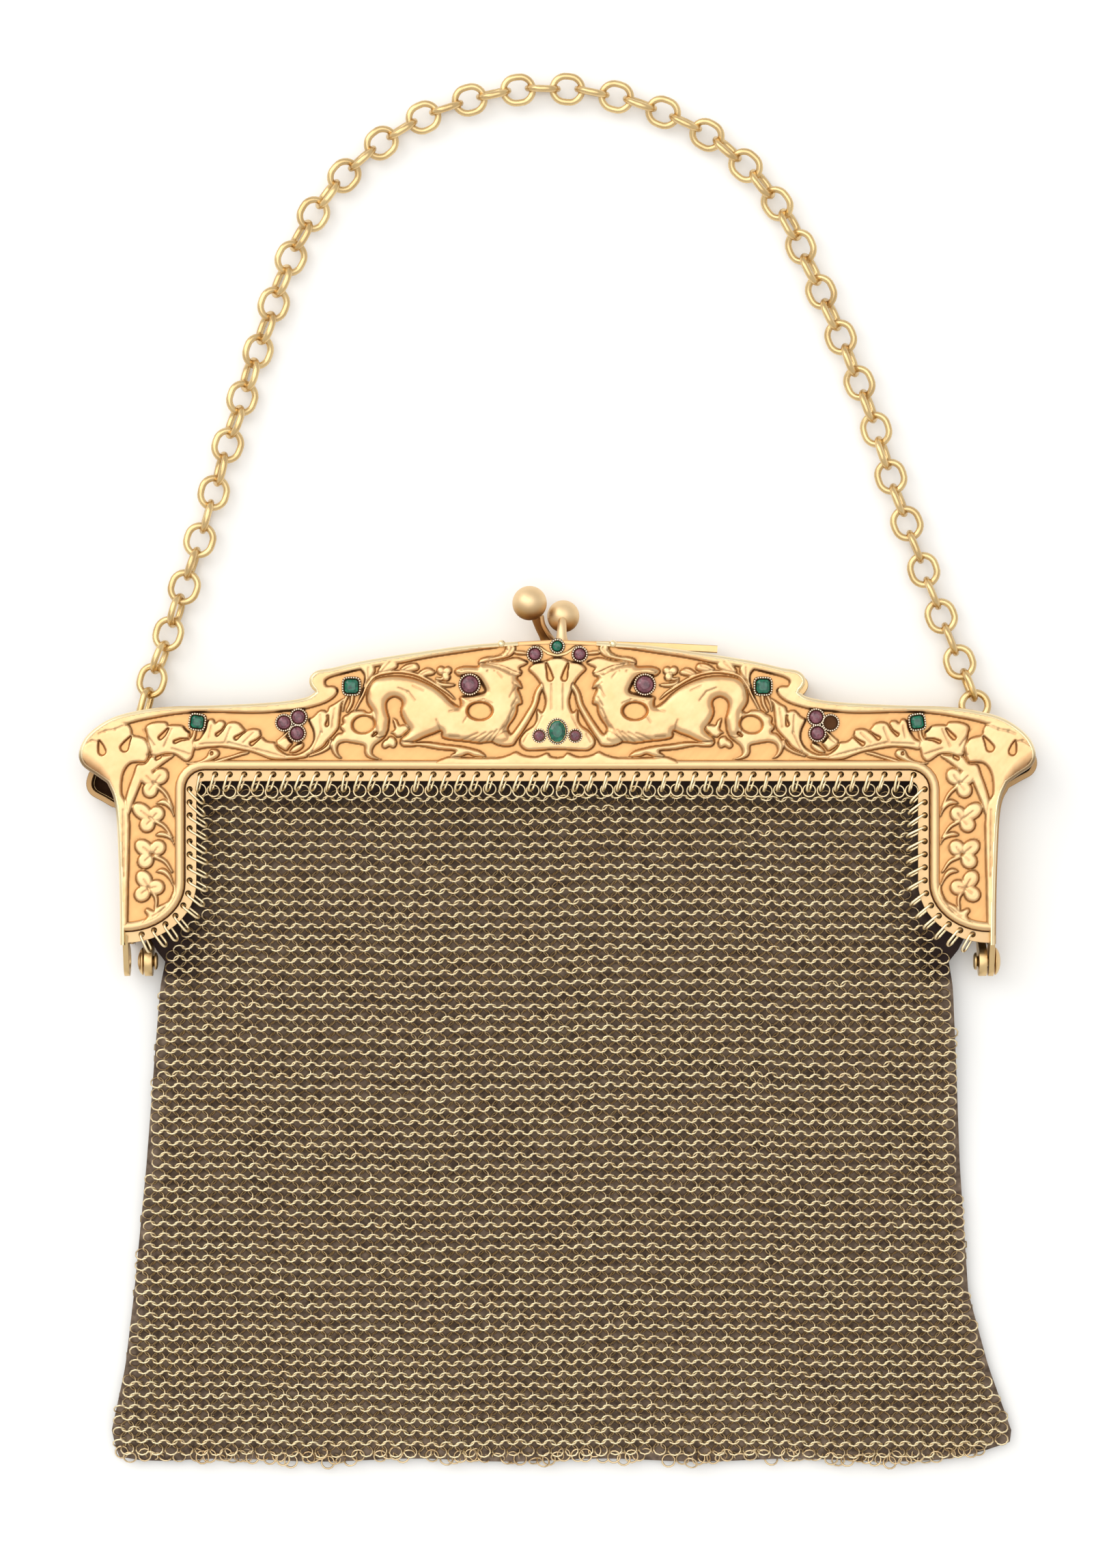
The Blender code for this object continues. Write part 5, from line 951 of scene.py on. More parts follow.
def relief_height(points):
    """Height above the ground, strength of the dark line, and depth inside the nearest form."""
    height = np.zeros(len(points))
    line = np.zeros(len(points))
    nearest = np.full(len(points), -FAR)
    for forms, rise, soft, crown in GROUPS:
        depth = np.full(len(points), -FAR)
        for form, measure in forms:
            near = near_box(points, form, 3.0)
            depth[near] = np.maximum(depth[near], measure(points[near], form))
        height = np.maximum(height, pillow(depth, rise, soft, crown))
        line = np.maximum(line * (depth < 0.15), bell(depth + 0.03, 0.13))
        nearest = np.maximum(nearest, depth)
    for slot in SLOTS:
        near = near_box(points, slot, 1.6)
        depth = stroke_depth(points[near], slot)
        height[near] *= np.clip(-depth / 0.16, 0, 1)
        line[near] = np.maximum(line[near], bell(depth + 0.02, 0.11))
    for opening in OPENINGS:
        near = near_box(points, opening, 3.0)
        depth = lobe_depth(points[near], opening)
        height[near] *= np.clip(-depth / 0.3, 0, 1)
        line[near] = np.maximum(line[near] * (depth < 0), bell(depth - 0.02, 0.14))
    drape = smooth(DRAPE, 6)
    cuts = [(vein, *VEIN_CUT) for vein in VEINS] + [(ends, *DRAPE_CUT) for ends in zip(drape, drape[1:])]
    for ends, margin, deep, dark, dark_width in cuts:
        near = near_box(points, ends, margin)
        gap = -stroke_depth(points[near], [(*end, 0.0) for end in ends])
        height[near] -= deep * bell(gap, CUT_WIDTH)
        line[near] = np.maximum(line[near], dark * bell(gap, dark_width))
    for x, y, radius in EYES:
        eye = bell(np.linalg.norm(points - [x, y], axis=1), radius)
        height -= 0.12 * eye
        line = np.maximum(line, 0.9 * eye)
    return height, line, nearest


# %% [markdown]
# The height map becomes a fine grid mesh. Its ragged edge lies hidden under the border and the rim.
# Two attributes steer its gold: one says what is polished, the other where it darkens. That is tarnish
# in the engraved lines, painted shade at the foot of forms and under the shoulders, and a painted
# shadow that is strongest on the slopes that face down and to the right.

# %% Relief mesh
STEP = 0.15
xs = np.arange(-HALF_WIDTH, 0.0 + STEP / 2, STEP)
ys = np.arange(LEG_END, 13.2, STEP)
grid_x, grid_y = np.meshgrid(xs, ys, indexing="ij")
px, py = grid_x.ravel(), grid_y.ravel()
points = np.column_stack([px, py])
kept = inside(points, strip(outer, -0.5, window, 2.7))
height, line, nearest = np.zeros(len(points)), np.zeros(len(points)), np.full(len(points), -FAR)
height[kept], line[kept], nearest[kept] = relief_height(points[kept])
wave = np.sin(px * 1.9 + 1.3 * np.sin(py * 1.3)) * np.sin(py * 1.7 + 0.6 * np.sin(px * 0.7))
height += 0.018 * wave + 0.006 * np.sin(px * 5.3) * np.sin(py * 4.7 + px)
raised = np.clip((height - 0.10) / 0.25, 0, 1)
slope_x, slope_y = np.gradient(height.reshape(grid_x.shape), STEP)
steep = np.hypot(slope_x, slope_y).ravel() + 1e-6
slope_x, slope_y = slope_x.ravel() / steep, slope_y.ravel() / steep
soft_shade = 0.30 * np.exp(-np.clip(-nearest, 0, None) / 0.45) * (nearest < 0)
underside = shade_below(px, py)
cells = kept.reshape(grid_x.shape)
full = cells[:-1, :-1] & cells[1:, :-1] & cells[:-1, 1:] & cells[1:, 1:]
used, compact = np.unique(quads_between(len(xs), len(ys), False)[full.ravel()].ravel(), return_inverse=True)
quads = compact.reshape(-1, 4)

for side, sign in (("left", 1), ("right", -1)):
    verts = np.column_stack([points[used] * [sign, 1], GROUND + height[used]])
    obj = fast_piece(f"relief_{side}", verts, quads[:, ::sign], relief_gold)
    # Painted shadow: the dark line grows on slopes facing down and right, away from the light; the soft shade
    # at the foot of forms and the shade under the shoulders are painted too.
    away = 0.72 + 0.28 * (-slope_x * sign * 0.6 + slope_y * 0.8)
    recess = np.maximum(np.maximum(line * away, soft_shade), underside)
    paint(obj, raised=raised[used], recess=recess[used])
print("relief faces per side:", len(quads), " highest:", round(float(height.max()), 2))

# %% [markdown]
# Behind the relief a plain plate closes the front half, and hinge ears reach down from its legs.

# %% Front plate, hinge ears and rivets
flat_plate("front_plate", [strip(outer, -0.4, window, 2.4)], 8.0, 8.85, 0.05, back_gold, "frame_gold")
HINGE_Y, HINGE_Z, EAR_RADIUS = -37.4, 4.45, 2.35
# The two corners of an ear's tongue on its leg, as (y, z)
FRONT_ROOTS = ((LEG_END + 0.1, 4.85), (LEG_END + 1.5, 8.85))
BACK_ROOTS = ((LEG_END + 1.5, 0.3), (LEG_END + 0.1, 4.05))
EARS = (
    ("front_ear_left", -67.8, 0.86, FRONT_ROOTS), ("front_ear_right", 68.35, 0.86, FRONT_ROOTS),
    ("back_ear_left", -64.4, 1.25, BACK_ROOTS), ("back_ear_right", 67.05, 1.25, BACK_ROOTS),
)
DOME = (
    (0, 0.8), (0.7, 0.76), (1.3, 0.62), (1.8, 0.4), (2.1, 0.15), (2.2, 0.0), (2.15, -0.08), (0.8, -0.1),
)


def ear(name, x, thickness, roots):
    """A round eye on a tongue, standing upright; roots are listed from low to high."""
    eye = np.array([HINGE_Y, HINGE_Z])
    low, high = roots
    ends = []
    for root, sign in ((low, -1), (high, 1)):
        reach = np.array(root) - eye
        ends.append(math.atan2(reach[1], reach[0]) + sign * math.acos(EAR_RADIUS / np.linalg.norm(reach)))
    loop = np.vstack([eye + arc(ends[0] + 2 * np.pi, ends[1], 28) * EAR_RADIUS, high, low])
    loops = [loop, eye + arc(0, 2 * np.pi, 25)[:-1] * 1.1]
    obj = flat_plate(name, loops, -thickness / 2, thickness / 2, 0.08, back_gold, "frame_gold")
    obj.data.transform(Matrix(((0, 0, 1, x * UNIT), (1, 0, 0, 0), (0, 1, 0, 0), (0, 0, 0, 1))))


for row in EARS:
    ear(*row)
for side, head, burr, sign in (("left", 65.35, 63.45, -1), ("right", 69.1, 66.1, 1)):
    shank = [(0.8, burr), (1.4, burr), (1.3, burr - 0.3), (0.9, burr - 0.45), (0, burr - 0.45)]
    verts, faces = turned([(r, head + h) for r, h in DOME] + shank, 32)
    verts = np.column_stack([verts[:, 2] * sign, verts[:, 0] * -sign + HINGE_Y, verts[:, 1] + HINGE_Z])
    fast_piece(f"rivet_{side}", verts, faces, back_gold, [f"hinge_pin_{side}"])
print("ears and rivets stand at y", HINGE_Y)

# %% [markdown]
# The back half is plain. It sits a little to the right and lower at the shoulders, so that its edge
# shows beside the front's. A thin closing bar follows its crest.

# %% Back half
BACK_SKIRT = (
    (0, 0.5), (0.1, 0.15), (-0.45, 0.0), (-0.95, 0.1), (-0.9, 4.1), (-0.8, 4.2), (-0.1, 4.2), (0, 4.1),
)
BACK_RIM = ((1.9, 0.9), (1.9, 0.2), (2.1, 0.1), (3.1, 0.1), (3.35, 0.3), (3.35, 1.05))
BAR = ((-0.9, 2.4), (-0.9, 4.0), (-0.8, 4.1), (0.15, 4.1), (0.25, 4.0), (0.25, 2.4))
BAR_END = 25.3
shift = np.array([BACK_SHIFT, 0.0])
left_side = outer_half(0.3, 4.2, -16.5)[:0:-1] * [-1, 1]
back_outer = np.vstack([left_side, outer_half(0.3, 0.9)]) + shift
back_window = window + shift
verts, faces = sweep(back_outer, BACK_SKIRT)
skirt = add_piece("back_skirt", verts, faces, skirt_gold, "frame_gold", SHARP, ["back_frame"])
# Painted shade: near the trough under each shoulder the skirt gets the dark colour.
shoulder = np.clip((np.abs(verts[:, 0]) - 66.0) / 3.0, 0, 1) * np.clip((-verts[:, 1] - 3.0) / 3.0, 0, 1)
paint(skirt, raised=1.0 - 0.75 * shoulder, recess=0.25 * shoulder)
back_holes = [circle + c + shift for c in all_holes]
BACK_LAYERS = (
    # name, loops, low, high, rounding, material
    ("back_plate", [strip(back_outer, -0.5, back_window, 2.5)], 0.0, 1.0, 0.1, back_gold),
    # a near-black sheet in the trough under the front's edge: painted shade
    ("back_inside", [strip(back_outer, -1.0, back_window, 3.5)], 0.98, 1.1, 0.02, trough_shade_gold),
    ("back_flange", [strip(back_window, 0.0, back_window, 2.8), *back_holes], 0.7, 1.4, 0.06, flange_gold),
)
for row in BACK_LAYERS:
    flat_plate(*row, "frame_gold")
add_piece("back_rim", *sweep(back_window, BACK_RIM), back_gold, "frame_gold", SHARP)
bar_x = np.linspace(1.0, BAR_END, 30)
bar = np.column_stack([bar_x, 12.9 - 0.75 * (bar_x / BAR_END) ** 2])
add_piece("closing_bar", *sweep(bar, BAR), back_gold, "frame_gold", SHARP)
print("layers of the back half:", len(BACK_LAYERS))

# %% [markdown]
# ## Stones in their collets
# Each stone's place and size are read from its CAD node. The collet is a wall round the stone with
# a row of fine beads on its lip. One setting on the right has lost its stone and stays empty.

# %% Stones in the CAD, and their cuts
STONE_SCALE = 1.16  # the stones in the photograph are a little larger than their seats
SQUARE_TURNS = {"stone_shoulder_left": -8.0, "stone_shoulder_right": 8.0}


def gem_rows():
    """Name, middle and size of each stone."""
    rows = []
    for name in sorted(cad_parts):
        if name.startswith("stone_"):
            low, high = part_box(name)
            centre = (low + high) / 2 / UNIT
            rows.append((name, centre.x, centre.y, (high.x - low.x) / UNIT, (high.y - low.y) / UNIT))
    return rows


def cut_of(name, w, h):
    """Whether a stone is square, its turn in degrees, its length and its width."""
    if "sprig" in name or "shoulder" in name:
        side = 2.35 if "sprig" in name else 2.1
        return True, SQUARE_TURNS.get(name, 0.0), side, side
    return False, 0.0, w * STONE_SCALE, h * STONE_SCALE


def gem_loop(square, length, width, turn, sides):
    c, s = arc(0, 2 * np.pi, sides + 1)[:-1].T
    c, s = rotated(np.column_stack([c, s]), np.pi / sides).T
    if square:
        c, s = (np.sign(v) * np.abs(v) ** 0.45 * 0.93 for v in (c, s))
    return rotated(np.column_stack([c * length / 2, s * width / 2]), math.radians(turn))


settings = gem_rows()
twin = next(row for row in settings if row[0] == "stone_berry_outer_left")
settings.append(("empty", -twin[1], *twin[2:]))
print("settings:", len(settings))

# %% [markdown]
# A collet's wall follows the stone's outline and ends in a shallow floor. Its beads stand at even
# distances on the lip, and all collets and all beads are one piece each.

# %% Collets and beads
# Distance outside the stone and height of the collet's wall
COLLET_WALL = (
    (0.0, 9.2), (0.0, 9.82), (0.05, 9.88), (0.16, 9.84), (0.34, 9.84), (0.40, 9.5), (0.46, 8.95),
    (0.5, 8.7),
)
BEAD = ((0, 0.17), (0.09, 0.14), (0.15, 0.06), (0.16, 0.0), (0.12, -0.1))
BEAD_OUT, BEAD_PITCH, BEAD_LEVEL = 0.24, 0.36, 9.86
COLLET_SIDES = 32
bead_verts, bead_faces = turned(BEAD, 7)
collets, beads = [], []
for name, x, y, w, h in settings:
    square, turn, length, width = cut_of(name, w, h)
    ease = 1.04 if square else 1.02
    loop = gem_loop(square, length * ease, width * ease, turn, COLLET_SIDES)
    side = unit(loop)
    wall = [np.column_stack([loop + side * d, np.full(COLLET_SIDES, z)]) for d, z in COLLET_WALL]
    collets.append((np.vstack(wall) + [x, y, 0], quads_between(len(wall), COLLET_SIDES)))
    edge = np.column_stack([loop * 1.02 + [x, y], np.full(COLLET_SIDES, 9.25)])
    fan = [[0, 1 + a, 1 + (a + 1) % COLLET_SIDES] for a in range(COLLET_SIDES)]
    collets.append((np.vstack([[x, y, 9.15], edge]), fan))
    lip = loop + side * BEAD_OUT
    count = max(16, round(np.pi * ((w + h) / 2 * STONE_SCALE + 0.5) / BEAD_PITCH))
    for bx, by in even(np.vstack([lip, lip[:1]]), count + 1)[:-1]:
        beads.append((bead_verts + [x + bx, y + by, BEAD_LEVEL], bead_faces))
add_piece("collets", *joined(collets), dark_gold, "frame_gold", 50)
verts, faces = joined(beads)
fast_piece("collet_beads", verts, np.array(faces), bead_gold)
print("beads:", len(beads))

# %% [markdown]
# A stone is a few rows of facets, each row a share of the outline at its own height. Round stones
# turn every second row by half a facet.

# %% Stones
# Share of the outline and height of each row of facets
SQUARE_LEVELS = ((0.55, 9.32), (1.0, 9.72), (1.0, 9.78), (0.82, 9.98), (0.58, 10.1))
ROUND_LEVELS = ((0.5, 9.32), (1.0, 9.7), (1.0, 9.76), (0.86, 9.98), (0.55, 10.14), (0.2, 10.2))
GREEN_PLACES = ("crest", "centre", "sprig", "shoulder")
KINDS = {True: (green_stone, "green_stone"), False: (red_stone, "red_stone")}
for name, x, y, w, h in settings[:-1]:
    square, turn, length, width = cut_of(name, w, h)
    levels, sides = (SQUARE_LEVELS, 8) if square else (ROUND_LEVELS, 12)
    verts = []
    for number, (share, z) in enumerate(levels):
        loop = gem_loop(square, length * share, width * share, turn, sides)
        if number % 2 and not square and abs(length - width) < 0.2:
            loop = rotated(loop, np.pi / sides)
        verts.append(np.column_stack([loop + [x, y], np.full(sides, z)]))
    faces = []
    for a, b, c, d in quads_between(len(levels), sides).tolist():
        faces += [[a, d, c], [a, c, b]]
    faces += end_caps(len(levels), sides)
    kind = KINDS[any(word in name for word in GREEN_PLACES)]
    add_piece("gem_" + name.removeprefix("stone_"), np.vstack(verts), faces, *kind, 10, [name])
print("stones:", len(settings) - 1)

# %% [markdown]
# ## Clasp
# Two polished balls on curved stems rise from the crest and cross beside each other.
# Two small knobs end the plumes beside the crest's middle.

# %% Clasp balls and stems
BACK_STEM = (
    (-1.5, 12.9, 2.2), (-2.0, 13.9, 2.6), (-2.8, 15.4, 3.8), (-3.5, 17.0, 5.2), (-4.1, 18.6, 6.2),
)
FRONT_STEM = ((0.7, 12.9, 7.4), (0.7, 14.0, 7.6), (0.75, 15.4, 7.3), (0.85, 16.6, 6.4))
CLASP = (
    # name, centre, radius, path of the stem, how much of it gets the pale colour, how much the dark crease
    # colour
    ("clasp_ball_back", (-4.35, 19.0, 6.5), 2.72, BACK_STEM, 0.1, 0.3),
    ("clasp_ball_front", (0.95, 17.0, 4.5), 2.55, FRONT_STEM, 1.0, 0.0),
)
STEM_RADII = ((0, 0.12, 0.3, 1), (1.1, 0.95, 0.8, 0.62))  # shares of the length, radii there
CLAW = ((-0.5, 13.2, 3.2), (-1.4, 14.3, 4.0), (-2.2, 15.7, 4.8), (-2.5, 17.1, 5.4))
claw = add_piece("clasp_claw", *tube(smooth(CLAW, 6), 0.36, 12), ball_gold, "frame_gold", 50)
paint(claw, raised=0.8)
for name, centre, radius, path, bright, stem_darkening in CLASP:
    short = name.removeprefix("clasp_")
    verts, faces = sphere(radius, 33, 40)
    ball = fast_piece(f"{short}_sphere", verts + centre, faces, ball_gold, [name])
    # Painted light and shade: the top of each ball is pale and its underside darker.
    up = verts[:, 1] / radius
    paint(ball, raised=np.clip((up + 0.75) / 0.85, 0, 1), recess=0.75 * np.clip((-up - 0.55) / 0.45, 0, 1))
    line = smooth(path, 6)
    radii = np.interp(np.linspace(0, 1, len(line)), *STEM_RADII)
    stem = add_piece(f"{short}_stem", *tube(line, radii, 20), ball_gold, "frame_gold", 50)
    paint(stem, raised=bright, recess=stem_darkening)
for side, x in (("left", -8.75), ("right", 8.75)):
    verts, faces = sphere(0.62, 17, 24)
    knob = fast_piece(f"plume_knob_{side}", verts + (x, 12.5, 9.2), faces, border_gold)
    paint(knob, raised=1.0)
print("clasp balls:", len(CLASP))

# %% [markdown]
# ## Chain
# The links follow a smooth route over the table. Each is turned a quarter from its neighbour, and
# the whole chain leans a little, so that no link lies quite flat.

# %% Links, bails and lugs
ROUTE = (
    (-64.1, 6.9), (-60.2, 18.1), (-56.6, 28.9), (-53.4, 39.8), (-50.0, 51.0), (-46.5, 61.4),
    (-42.6, 72.6), (-37.8, 81.8), (-30.0, 90.2), (-20.2, 96.4), (-7.8, 100.1), (4.7, 100.1),
    (16.7, 96.8), (27.2, 90.7), (35.3, 81.6), (40.5, 71.1), (45.2, 60.3), (49.4, 49.7), (52.9, 38.7),
    (56.7, 27.8), (60.8, 16.9), (65.1, 6.2),
)
LINK = (5.75, 5.15, 1.08)  # length, width and wire
LINK_COUNT = 64
LEAN = ((0.0, 0.2, 0.5, 0.7, 1.0), (-20.0, 28.0, 5.0, 28.0, 0.0))  # shares of the chain, degrees there
BAILS = (
    # side, CAD node, link at that end, (length, width, wire), roll in degrees
    ("left", "chain_bail_left", 0, (5.9, 3.9, 1.1), 70),
    ("right", "chain_bail_right", -1, (5.25, 5.25, 1.12), 2),
)
LUG = (3.1, 3.1, 0.8)


def link_axes(heading, roll):
    """The two axes of a ring whose length follows the heading and which is turned about it."""
    along = np.asarray(heading, float) / np.linalg.norm(heading)
    flat = np.array([0, 0, 1.0]) - along * along[2]
    flat /= np.linalg.norm(flat)
    across = np.cross(flat, along)
    return along, across * math.cos(roll) + flat * math.sin(roll)


places = even(smooth(ROUTE, 12), LINK_COUNT)
links = []
for index, (x, y) in enumerate(places):
    lean = np.interp(index / (LINK_COUNT - 1), *LEAN) + rng.uniform(-5, 5)
    heading = places[min(index + 1, LINK_COUNT - 1)] - places[max(index - 1, 0)]
    heading = rotated(heading[None], rng.uniform(-0.06, 0.06))[0]
    reach = max(abs(math.sin(math.radians(lean))), abs(math.cos(math.radians(lean))))
    z = (LINK[1] - LINK[2]) / 2 * reach + LINK[2] / 2
    links.append(((x, y, z), *link_axes((*heading, 0.0), math.radians(lean + 90 * (index % 2)))))
centres, along, across = (np.array(part) for part in zip(*links))
verts, faces = rings(centres, along, across, *LINK, around=28, section=12)
fast_piece("chain_links", verts, faces, chain_gold, ["chain"])

for side, node, end, size, roll in BAILS:
    low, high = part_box(node)
    middle = np.array((low + high) / 2) / UNIT
    heading = centres[end] - middle
    heading[2] = 0.0
    a, b = link_axes(heading, math.radians(roll))
    verts, faces = rings(middle[None], a[None], b[None], *size, around=36, section=14)
    fast_piece(f"bail_{side}", verts, faces, chain_gold, [node])
    seat = middle - heading / np.linalg.norm(heading) * (size[0] / 2 - 0.5) - [0, 0.65, 0.0]
    tip = math.radians(90 - roll)
    up = np.array([[0.0, 1.0, 0.0]])
    aside = np.array([[math.cos(tip), 0.0, -math.sin(tip)]])
    verts, faces = rings(seat[None], up, aside, *LUG, around=32, section=12)
    fast_piece(f"lug_{side}", verts, faces, back_gold)
print("links:", LINK_COUNT)

# %% [markdown]
# ## Ring mesh
# The bag is two layers of small rings. Rings in a row stand side by side, the next row is set off by
# half a ring, and rows lean towards and away from us in turn, which gives the bright wavy bands.
# A table gives the bag's half widths and the height of its front at a few depths.

# %% The bag's shape
BAG_TOP = -9.3
BAG_ROWS = np.array([
    # y, left half width, right half width, front height
    (-9.3, 56.2, 56.4, 6.8), (-14.1, 56.0, 56.4, 6.4), (-25.0, 56.0, 56.4, 6.4), (-29.4, 57.0, 57.4, 6.2),
    (-32.4, 59.0, 59.6, 5.9), (-35.6, 61.6, 61.6, 5.6), (-41.5, 62.8, 62.6, 5.1), (-54.4, 63.9, 63.2, 4.3),
    (-69.5, 65.1, 63.8, 3.7), (-90.0, 67.1, 65.2, 3.2), (-101.7, 68.5, 68.4, 3.0), (-112.0, 70.7, 72.1, 2.9),
    (-116.5, 69.4, 71.3, 2.7),
])
RING, WIRE = 2.32, 0.30
PITCH_X, PITCH_Y = 2.34, 0.91
BAG_END = -117.2


def bag_edge(y):
    """Left half width, right half width and height of the front at a depth."""
    order = BAG_ROWS[::-1]
    return [np.interp(y, order[:, 0], order[:, k]) for k in (1, 2, 3)]


def hem_y(x):
    """The hem is nearly straight and rises at both corners, more at the right one."""
    right = 2.6 * np.clip((x - 60.0) / 11.0, 0, 1) ** 2
    left = 0.9 * np.clip((-x - 62.0) / 8.0, 0, 1) ** 2
    return -116.2 + right + left + 0.25 * np.sin(x * 0.21)


def fold(x, y):
    """Soft folds and sags of the mesh, in units of height."""
    low = 0.22 * np.sin(0.11 * x + 0.05 * y + 0.6) * np.sin(0.045 * y + 0.4)
    patch = 0.5 * np.exp(-(((x + 49.5) / 5.0) ** 2 + ((y + 97.5) / 2.2) ** 2))
    return low * np.clip((-y - 12) / 20, 0, 1) + patch


print("bag rows:", len(BAG_ROWS))

# %% [markdown]
# Every ring gets its centre, its lean and a small random turn, and all rings of a layer are made at once.
# The layers are split into pieces so that none of them is too heavy.

# %% Ring layers
def ring_axes(spin, roll, rise=0.0):
    """Two unit axes for each ring: turned on the table by spin, then leaned by roll."""
    along = unit(np.column_stack([np.cos(spin), np.sin(spin), np.broadcast_to(rise, len(spin))]))
    across = np.column_stack([-np.sin(spin) * np.cos(roll), np.cos(spin) * np.cos(roll), np.sin(roll)])
    return along, unit(across - along * np.sum(along * across, axis=1)[:, None])


def ring_layer(name, height_of, lean, around, material, pieces, jitter, shift_x=0.0, replaces=()):
    """One layer of the bag; its rows of rings lean up and down the bag in turn."""
    xs, ys, flip = [], [], []
    for number, y in enumerate(np.arange(BAG_TOP - 1.9, BAG_END, -PITCH_Y)):
        left, right, _ = bag_edge(y)
        odd = number % 2
        row = np.arange(-34, 35) * PITCH_X + PITCH_X / 2 * odd + shift_x
        row = row[(row > -left + 0.9) & (row < right - 0.9)]
        row = row[y > hem_y(row) + 0.6]
        xs.append(row)
        ys.append(np.full(len(row), y))
        flip.append(np.full(len(row), 2.0 * odd - 1.0))
    x, y, flip = np.concatenate(xs), np.concatenate(ys), np.concatenate(flip)
    wave_x = 0.16 * np.sin(0.19 * y + 0.07 * x) + 0.08 * np.sin(0.53 * y + 1.0)
    wave_y = 0.22 * np.sin(0.083 * x + 0.4) + 0.10 * np.sin(0.31 * x + 0.02 * y)
    x = x + wave_x + rng.normal(0, jitter, len(x))
    y = y + wave_y + rng.normal(0, jitter, len(y))
    z = height_of(x, y) + rng.normal(0, 0.05, len(x))
    tilt = np.radians(lean * flip + rng.normal(0, 4.0, len(x)))
    spin = rng.normal(0, 0.05, len(x))
    along, across = ring_axes(spin, tilt, rng.normal(0, 0.05, len(x)))
    centres = np.column_stack([x, y, z])
    rise = RING / 2 * math.sin(math.radians(lean))
    for number, part in enumerate(np.array_split(np.arange(len(x)), pieces)):
        turn = np.pi / around
        verts, faces = rings(centres[part], along[part], across[part], RING, RING, WIRE, around, 3, turn)
        label = f"{name}_{number + 1}"
        obj = fast_piece(label, verts, faces, material, () if number else replaces)
        # Painted light and shade: the top of each ring gets the pale colour and its lower side the dark one,
        # partly tarnish.
        lift = (verts.reshape(len(part), -1, 3)[..., 2] - centres[part, 2:]).ravel() / rise
        paint(obj, raised=np.clip(0.60 + 0.85 * lift, 0, 1), recess=0.75 * np.clip(-lift - 0.4, 0, 1))
    return len(x)


def front_height(x, y):
    return bag_edge(y)[2] - 0.65 + fold(x, y)


front_count = ring_layer("front_mesh", front_height, 38.0, 10, mesh_gold, 3, 0.035, replaces=["mesh_bag"])
back_count = ring_layer("back_mesh", lambda x, y: 0.85, 36.0, 6, shaded_mesh_gold, 2, 0.03, 0.5)
print("rings in front:", front_count, " behind:", back_count)

# %% [markdown]
# A dark lining lies between the layers; its dark colour also paints the shade inside the bag.
# It is widest beside the feet of the legs, and its `shadow` attribute paints shadow on it beside the frame.

# %% Lining
CORNER_Y = (-37.0, -36.0, -33.5, -30.5, -27.5, -25.0, -9.0)
CORNER_HALF = (62.2, 63.2, 64.5, 62.0, 59.8, 58.4, 58.4)
LOWEST_ROW = -116.5
lining_y = np.linspace(BAG_TOP + 0.8, BAG_END, 61)
shares = np.linspace(-1, 1, 41)
left, right, high = bag_edge(np.clip(lining_y, LOWEST_ROW, BAG_TOP))
corner = np.interp(lining_y, CORNER_Y, CORNER_HALF, left=0)
left, right = np.maximum(left, corner), np.maximum(right, corner)
grid = []
for top in (True, False):
    for y, l, r, h in zip(lining_y, left, right, high):
        x = shares * np.where(shares < 0, l - 0.1, r - 0.1)
        z = (h - 1.75 + fold(x, y)) if top else np.full(len(x), 1.65)
        if h < 3.45:
            z[:] = (h - 0.1) / 2 + (0.03 if top else -0.03)
        grid.append(np.column_stack([x, np.maximum(y, hem_y(x) - 0.35), z]))
flat = np.vstack(grid)
quads = quads_between(len(lining_y), len(shares), False)
both = np.vstack([quads, (quads + len(flat) // 2)[:, ::-1]])
sheet = fast_piece("lining_and_shade_sheet", flat, both, lining_and_shade)
under_top = np.exp(-np.clip(BAG_TOP - flat[:, 1], 0, None) / 4.0)
beside_leg = np.exp(-np.clip(57.5 - np.abs(flat[:, 0]), 0, None) / 2.0) * (flat[:, 1] > -40)
paint(sheet, shadow=np.clip(under_top + beside_leg, 0, 1))
print("lining faces:", len(both))

# %% [markdown]
# Loose rings hang along the hem at all angles. Long sewing links hold the mesh to the flange: over
# the window's top, down each leg, and behind.

# %% Hem rings and sewing links
def loose_rings(name, centres, axes, shape, material, bright):
    """Rings as one piece of the mesh; shape is length, width, wire, sides around and sides across."""
    verts, faces = rings(centres, *axes, *shape)
    paint(fast_piece(name, verts, faces, material), raised=bright, recess=0.0)


def sewing(name, holes, way, material, level, length=3.3):
    """Long wire loops through the flange's holes, each lying over its edge towards the mesh."""
    way = unit(unit(way) + rng.normal(0, 0.06, way.shape))
    centres = np.column_stack([holes + way * (length / 2 - 0.4), np.full(len(holes), level)])
    along = unit(np.column_stack([way, np.full(len(way), -0.12)]))
    across = unit(np.array([0, 0, 1.0]) - along * along[:, 2:3])
    lean = rng.normal(0.38, 0.08, len(holes))[:, None]
    across = across * np.cos(lean) + np.cross(along, across) * np.sin(lean)
    loose_rings(name, centres, (along, across), (length, 1.9, 0.42, 18, 6), material, 1.0)


def fall(holes, inward):
    """Where each side link points: more downward at the top corner, most at the curved foot."""
    drop = np.interp(holes[:, 1], (-33.5, -31.0, -28.0, -22.0, -14.0, -9.0), (2.0, 1.2, 0.75, 0.5, 0.6, 1.1))
    return np.column_stack([np.full(len(holes), inward), -drop])


hem_x = np.arange(-69.0, 71.0, PITCH_X / 2)
hem_x = hem_x + rng.normal(0, 0.15, len(hem_x))
hem_x = hem_x[rng.random(len(hem_x)) < 0.85]
count = len(hem_x)
y = hem_y(hem_x) + 0.25 + rng.normal(0, 0.3, count)
centres = np.column_stack([hem_x, y, 1.55 + rng.normal(0, 0.3, count)])
roll, spin = rng.uniform(-1.0, 1.0, count), rng.uniform(-0.5, 0.5, count)
loose_rings("hem_rings", centres, ring_axes(spin, roll), (RING, RING, WIRE, 12, 4), hem_gold, 0.85)

